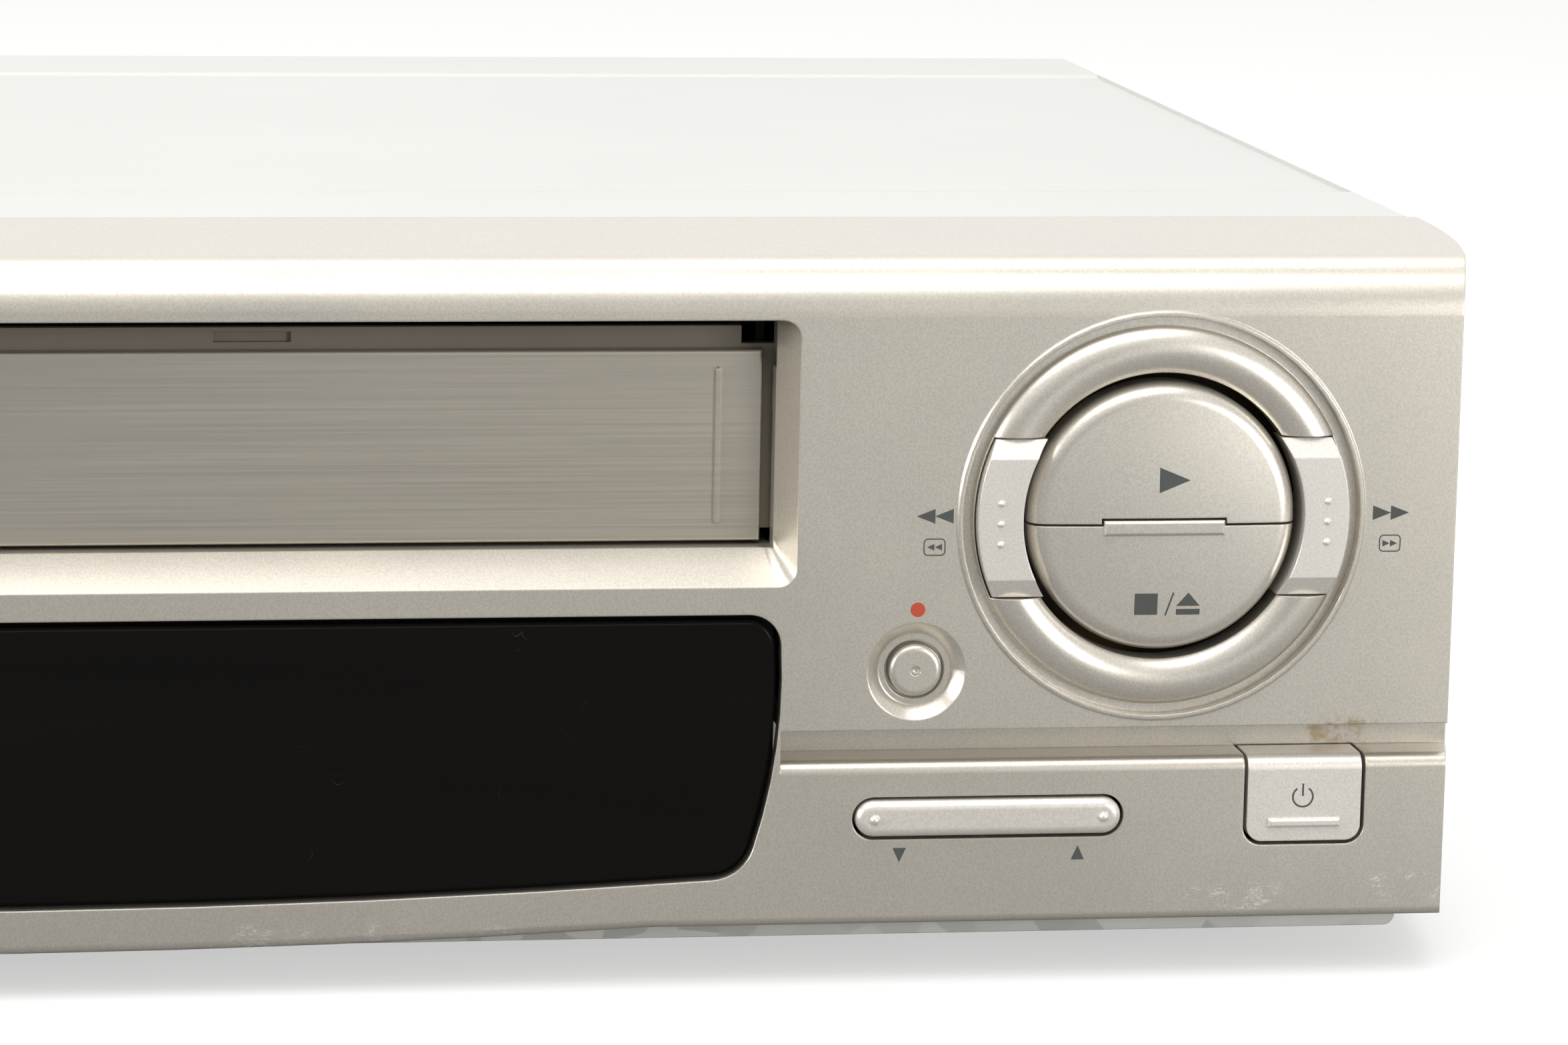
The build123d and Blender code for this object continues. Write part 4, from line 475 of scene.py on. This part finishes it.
dress("supply_guide take_up_guide capstan_housing worm",
      turned_metal("brass", (0.72, 0.55, 0.25), rough=(0.285, 0.36)))


# ---------------------------------------------------------------- printed symbols and small marks
CELL = 0.45                # symbols are cut into cells of this size so that they follow curved faces
SUNK = 0.04                # how far a printed layer reaches into the face under it
PROUD = 0.02               # how far it stands out of that face
OUTWARD = Vector((0, -1, 0))
trees = {}


def surface(node):
    """A search tree over a CAD node's faces, to lay printed symbols on it."""
    if node not in trees:
        mesh = nodes[node].data
        faces = [p.vertices for p in mesh.polygons]
        trees[node] = BVHTree.FromPolygons([v.co for v in mesh.vertices], faces)
    return trees[node]


def front_point(node, x, z):
    """The point of a node's front that is seen at (x, z), or None where there is none."""
    return surface(node).ray_cast(at(x, -6.0, z), -OUTWARD, 0.05)[0]


def closer(points, closed=True):
    """A line's points with more between them, so that it can bend with the surface."""
    out = []
    pairs = zip(points, points[1:] + points[:1] if closed else points[1:])
    for a, b in pairs:
        steps = max(1, math.ceil(math.dist(a, b) / CELL))
        out += [(a[0] + (b[0] - a[0]) * k / steps, a[1] + (b[1] - a[1]) * k / steps) for k in range(steps)]
    return out if closed else out + [points[-1]]


def filled(points):
    """A filled outline as points and triangles, with a grid of points inside."""
    edge = closer(points)
    count = len(edge)
    low_x, high_x = min(p[0] for p in edge), max(p[0] for p in edge)
    low_z, high_z = min(p[1] for p in edge), max(p[1] for p in edge)
    grid = []
    for i in range(1, math.ceil((high_x - low_x) / CELL)):
        for j in range(1, math.ceil((high_z - low_z) / CELL)):
            grid.append((low_x + i * CELL, low_z + j * CELL))
    verts = [Vector(p) for p in edge + grid]
    links = [(k, (k + 1) % count) for k in range(count)]
    made = delaunay_2d_cdt(verts, links, [list(range(count))], 1, 1e-5)
    return [tuple(v) for v in made[0]], [tuple(f) for f in made[2]]


def line(points, width, closed=False):
    """A drawn line of one width as points and quads."""
    path = closer(points, closed)
    count = len(path)
    verts, faces = [], []
    for k, point in enumerate(path):
        before = path[k - 1] if closed or k else point
        after = path[(k + 1) % count] if closed or k < count - 1 else point
        way = Vector((after[0] - before[0], after[1] - before[1])).normalized()
        side = Vector((-way.y, way.x)) * width / 2
        verts += [(point[0] + side.x, point[1] + side.y), (point[0] - side.x, point[1] - side.y)]
    for k in range(count if closed else count - 1):
        n = (k + 1) % count
        faces.append((2 * k, 2 * k + 1, 2 * n + 1, 2 * n))
    return verts, faces


def printed(name, parts, node, body, slot, material):
    """Lays flat shapes on a CAD node as one thin closed layer that moves with its body."""
    mesh = bmesh.new()
    for verts, faces in parts:
        placed = [front_point(node, x, z) for x, z in verts]
        corners = [None if p is None else mesh.verts.new(p - OUTWARD * SUNK * MM) for p in placed]
        for face in faces:
            if all(corners[k] for k in face):
                mesh.faces.new([corners[k] for k in face])
    loose = [v for v in mesh.verts if not v.link_faces]
    bmesh.ops.delete(mesh, geom=loose, context="VERTS")
    layer = bmesh.ops.extrude_face_region(mesh, geom=list(mesh.faces))["geom"]
    raised = [g for g in layer if isinstance(g, bmesh.types.BMVert)]
    bmesh.ops.translate(mesh, vec=OUTWARD * (SUNK + PROUD) * MM, verts=raised)
    bmesh.ops.recalc_face_normals(mesh, faces=mesh.faces)
    data = bpy.data.meshes.new(name)
    mesh.to_mesh(data)
    mesh.free()
    data.materials.append(material)
    piece = bpy.data.objects.new(name, data)
    scene.collection.objects.link(piece)
    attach(piece, body)


def ring(x, z, radius, start=0.0, end=360.0, steps=40):
    """Points along an arc; its angles run clockwise from the top."""
    turns = [math.radians(start + (end - start) * k / steps) for k in range(steps + 1)]
    return [(x + radius * math.sin(a), z + radius * math.cos(a)) for a in turns]


def rounded_box(x, z, half_wide, half_high, corner):
    """The outline of a box with round corners."""
    points = []
    for side_x, side_z, first in ((1, 1, 0), (1, -1, 90), (-1, -1, 180), (-1, 1, 270)):
        centre = (x + side_x * (half_wide - corner), z + side_z * (half_high - corner))
        points += ring(*centre, corner, first, first + 90, 6)
    return points


def ink(name, colour):
    """Screen-printed ink, thin in places."""
    f = Finish(name, specular=0.3)
    worn = f.noise(f.place(), 900.0, 3.0, 0.7)
    dark, light = shades(colour, 0.18)
    f.colour(f.mix(worn, dark, light))
    f.rough(0.5, 0.62, worn)
    return f.material


GREY = ink("grey_ink", (0.085, 0.092, 0.088))
RED = ink("red_ink", (0.52, 0.085, 0.045))
RIGHT = ((-0.5, 0.5), (0.5, 0.0), (-0.5, -0.5))
LEFT = tuple((-px, pz) for px, pz in RIGHT)
UP = ((-0.5, -0.5), (0.0, 0.5), (0.5, -0.5))
DOWN = tuple((px, -pz) for px, pz in UP)
BEZEL = ("front_bezel", "chassis", "silver_bezel")
EJECT_X, CHANNEL_MARKS_Z, POWER_X = 148.85, 17.2, 165.2
WIND_Z, SEARCH_Z = 61.4, 57.4       # the double arrows beside the dial and the boxed ones under them


def wedge(shape, x, z, wide, high):
    """A filled arrowhead."""
    return filled([(x + px * wide, z + pz * high) for px, pz in shape])


def double_wedge(shape, x, z, apart, wide, high):
    """Two arrowheads side by side."""
    return [wedge(shape, x + side * apart, z, wide, high) for side in (-1, 1)]


printed("play_mark", [wedge(RIGHT, 146.6, 66.1, 4.0, 3.3)], "play_button", "play_key", "silver_keys", GREY)
printed("stop_mark", [
    filled(rounded_box(143.35, 50.0, 1.5, 1.4, 0.08)),
    line([(145.9, 48.5), (146.9, 51.5)], 0.22),
    wedge(UP, EJECT_X, 50.6, 3.1, 1.75),
    filled(rounded_box(EJECT_X, 48.95, 1.55, 0.38, 0.05)),
], "stop_button", "stop_key", "silver_keys", GREY)
for word, shape, x in (("rewind", LEFT, 116.0), ("forward", RIGHT, 175.4)):
    printed(word + "_mark", double_wedge(shape, x, WIND_Z, 1.18, 2.4, 1.9), *BEZEL, GREY)
    frame_line = line(rounded_box(x, SEARCH_Z, 1.35, 1.05, 0.5), 0.16, closed=True)
    printed(word + "_search_mark", double_wedge(shape, x, SEARCH_Z, 0.5, 0.95, 0.85) + [frame_line],
            *BEZEL, GREY)
printed("record_mark", [filled(ring(114.06, 49.3, 0.95, 0, 351, 39))], *BEZEL, RED)
printed("channel_down_mark", [wedge(DOWN, 112.4, CHANNEL_MARKS_Z, 1.75, 1.9)], *BEZEL, GREY)
printed("channel_up_mark", [wedge(UP, 135.7, CHANNEL_MARKS_Z, 1.75, 1.9)], *BEZEL, GREY)
printed("power_mark", [
    line(ring(POWER_X, 24.1, 1.32, 35, 325), 0.24),
    line([(POWER_X, 24.2), (POWER_X, 25.85)], 0.24),
], "power_button", "power_key", "silver_keys", GREY)
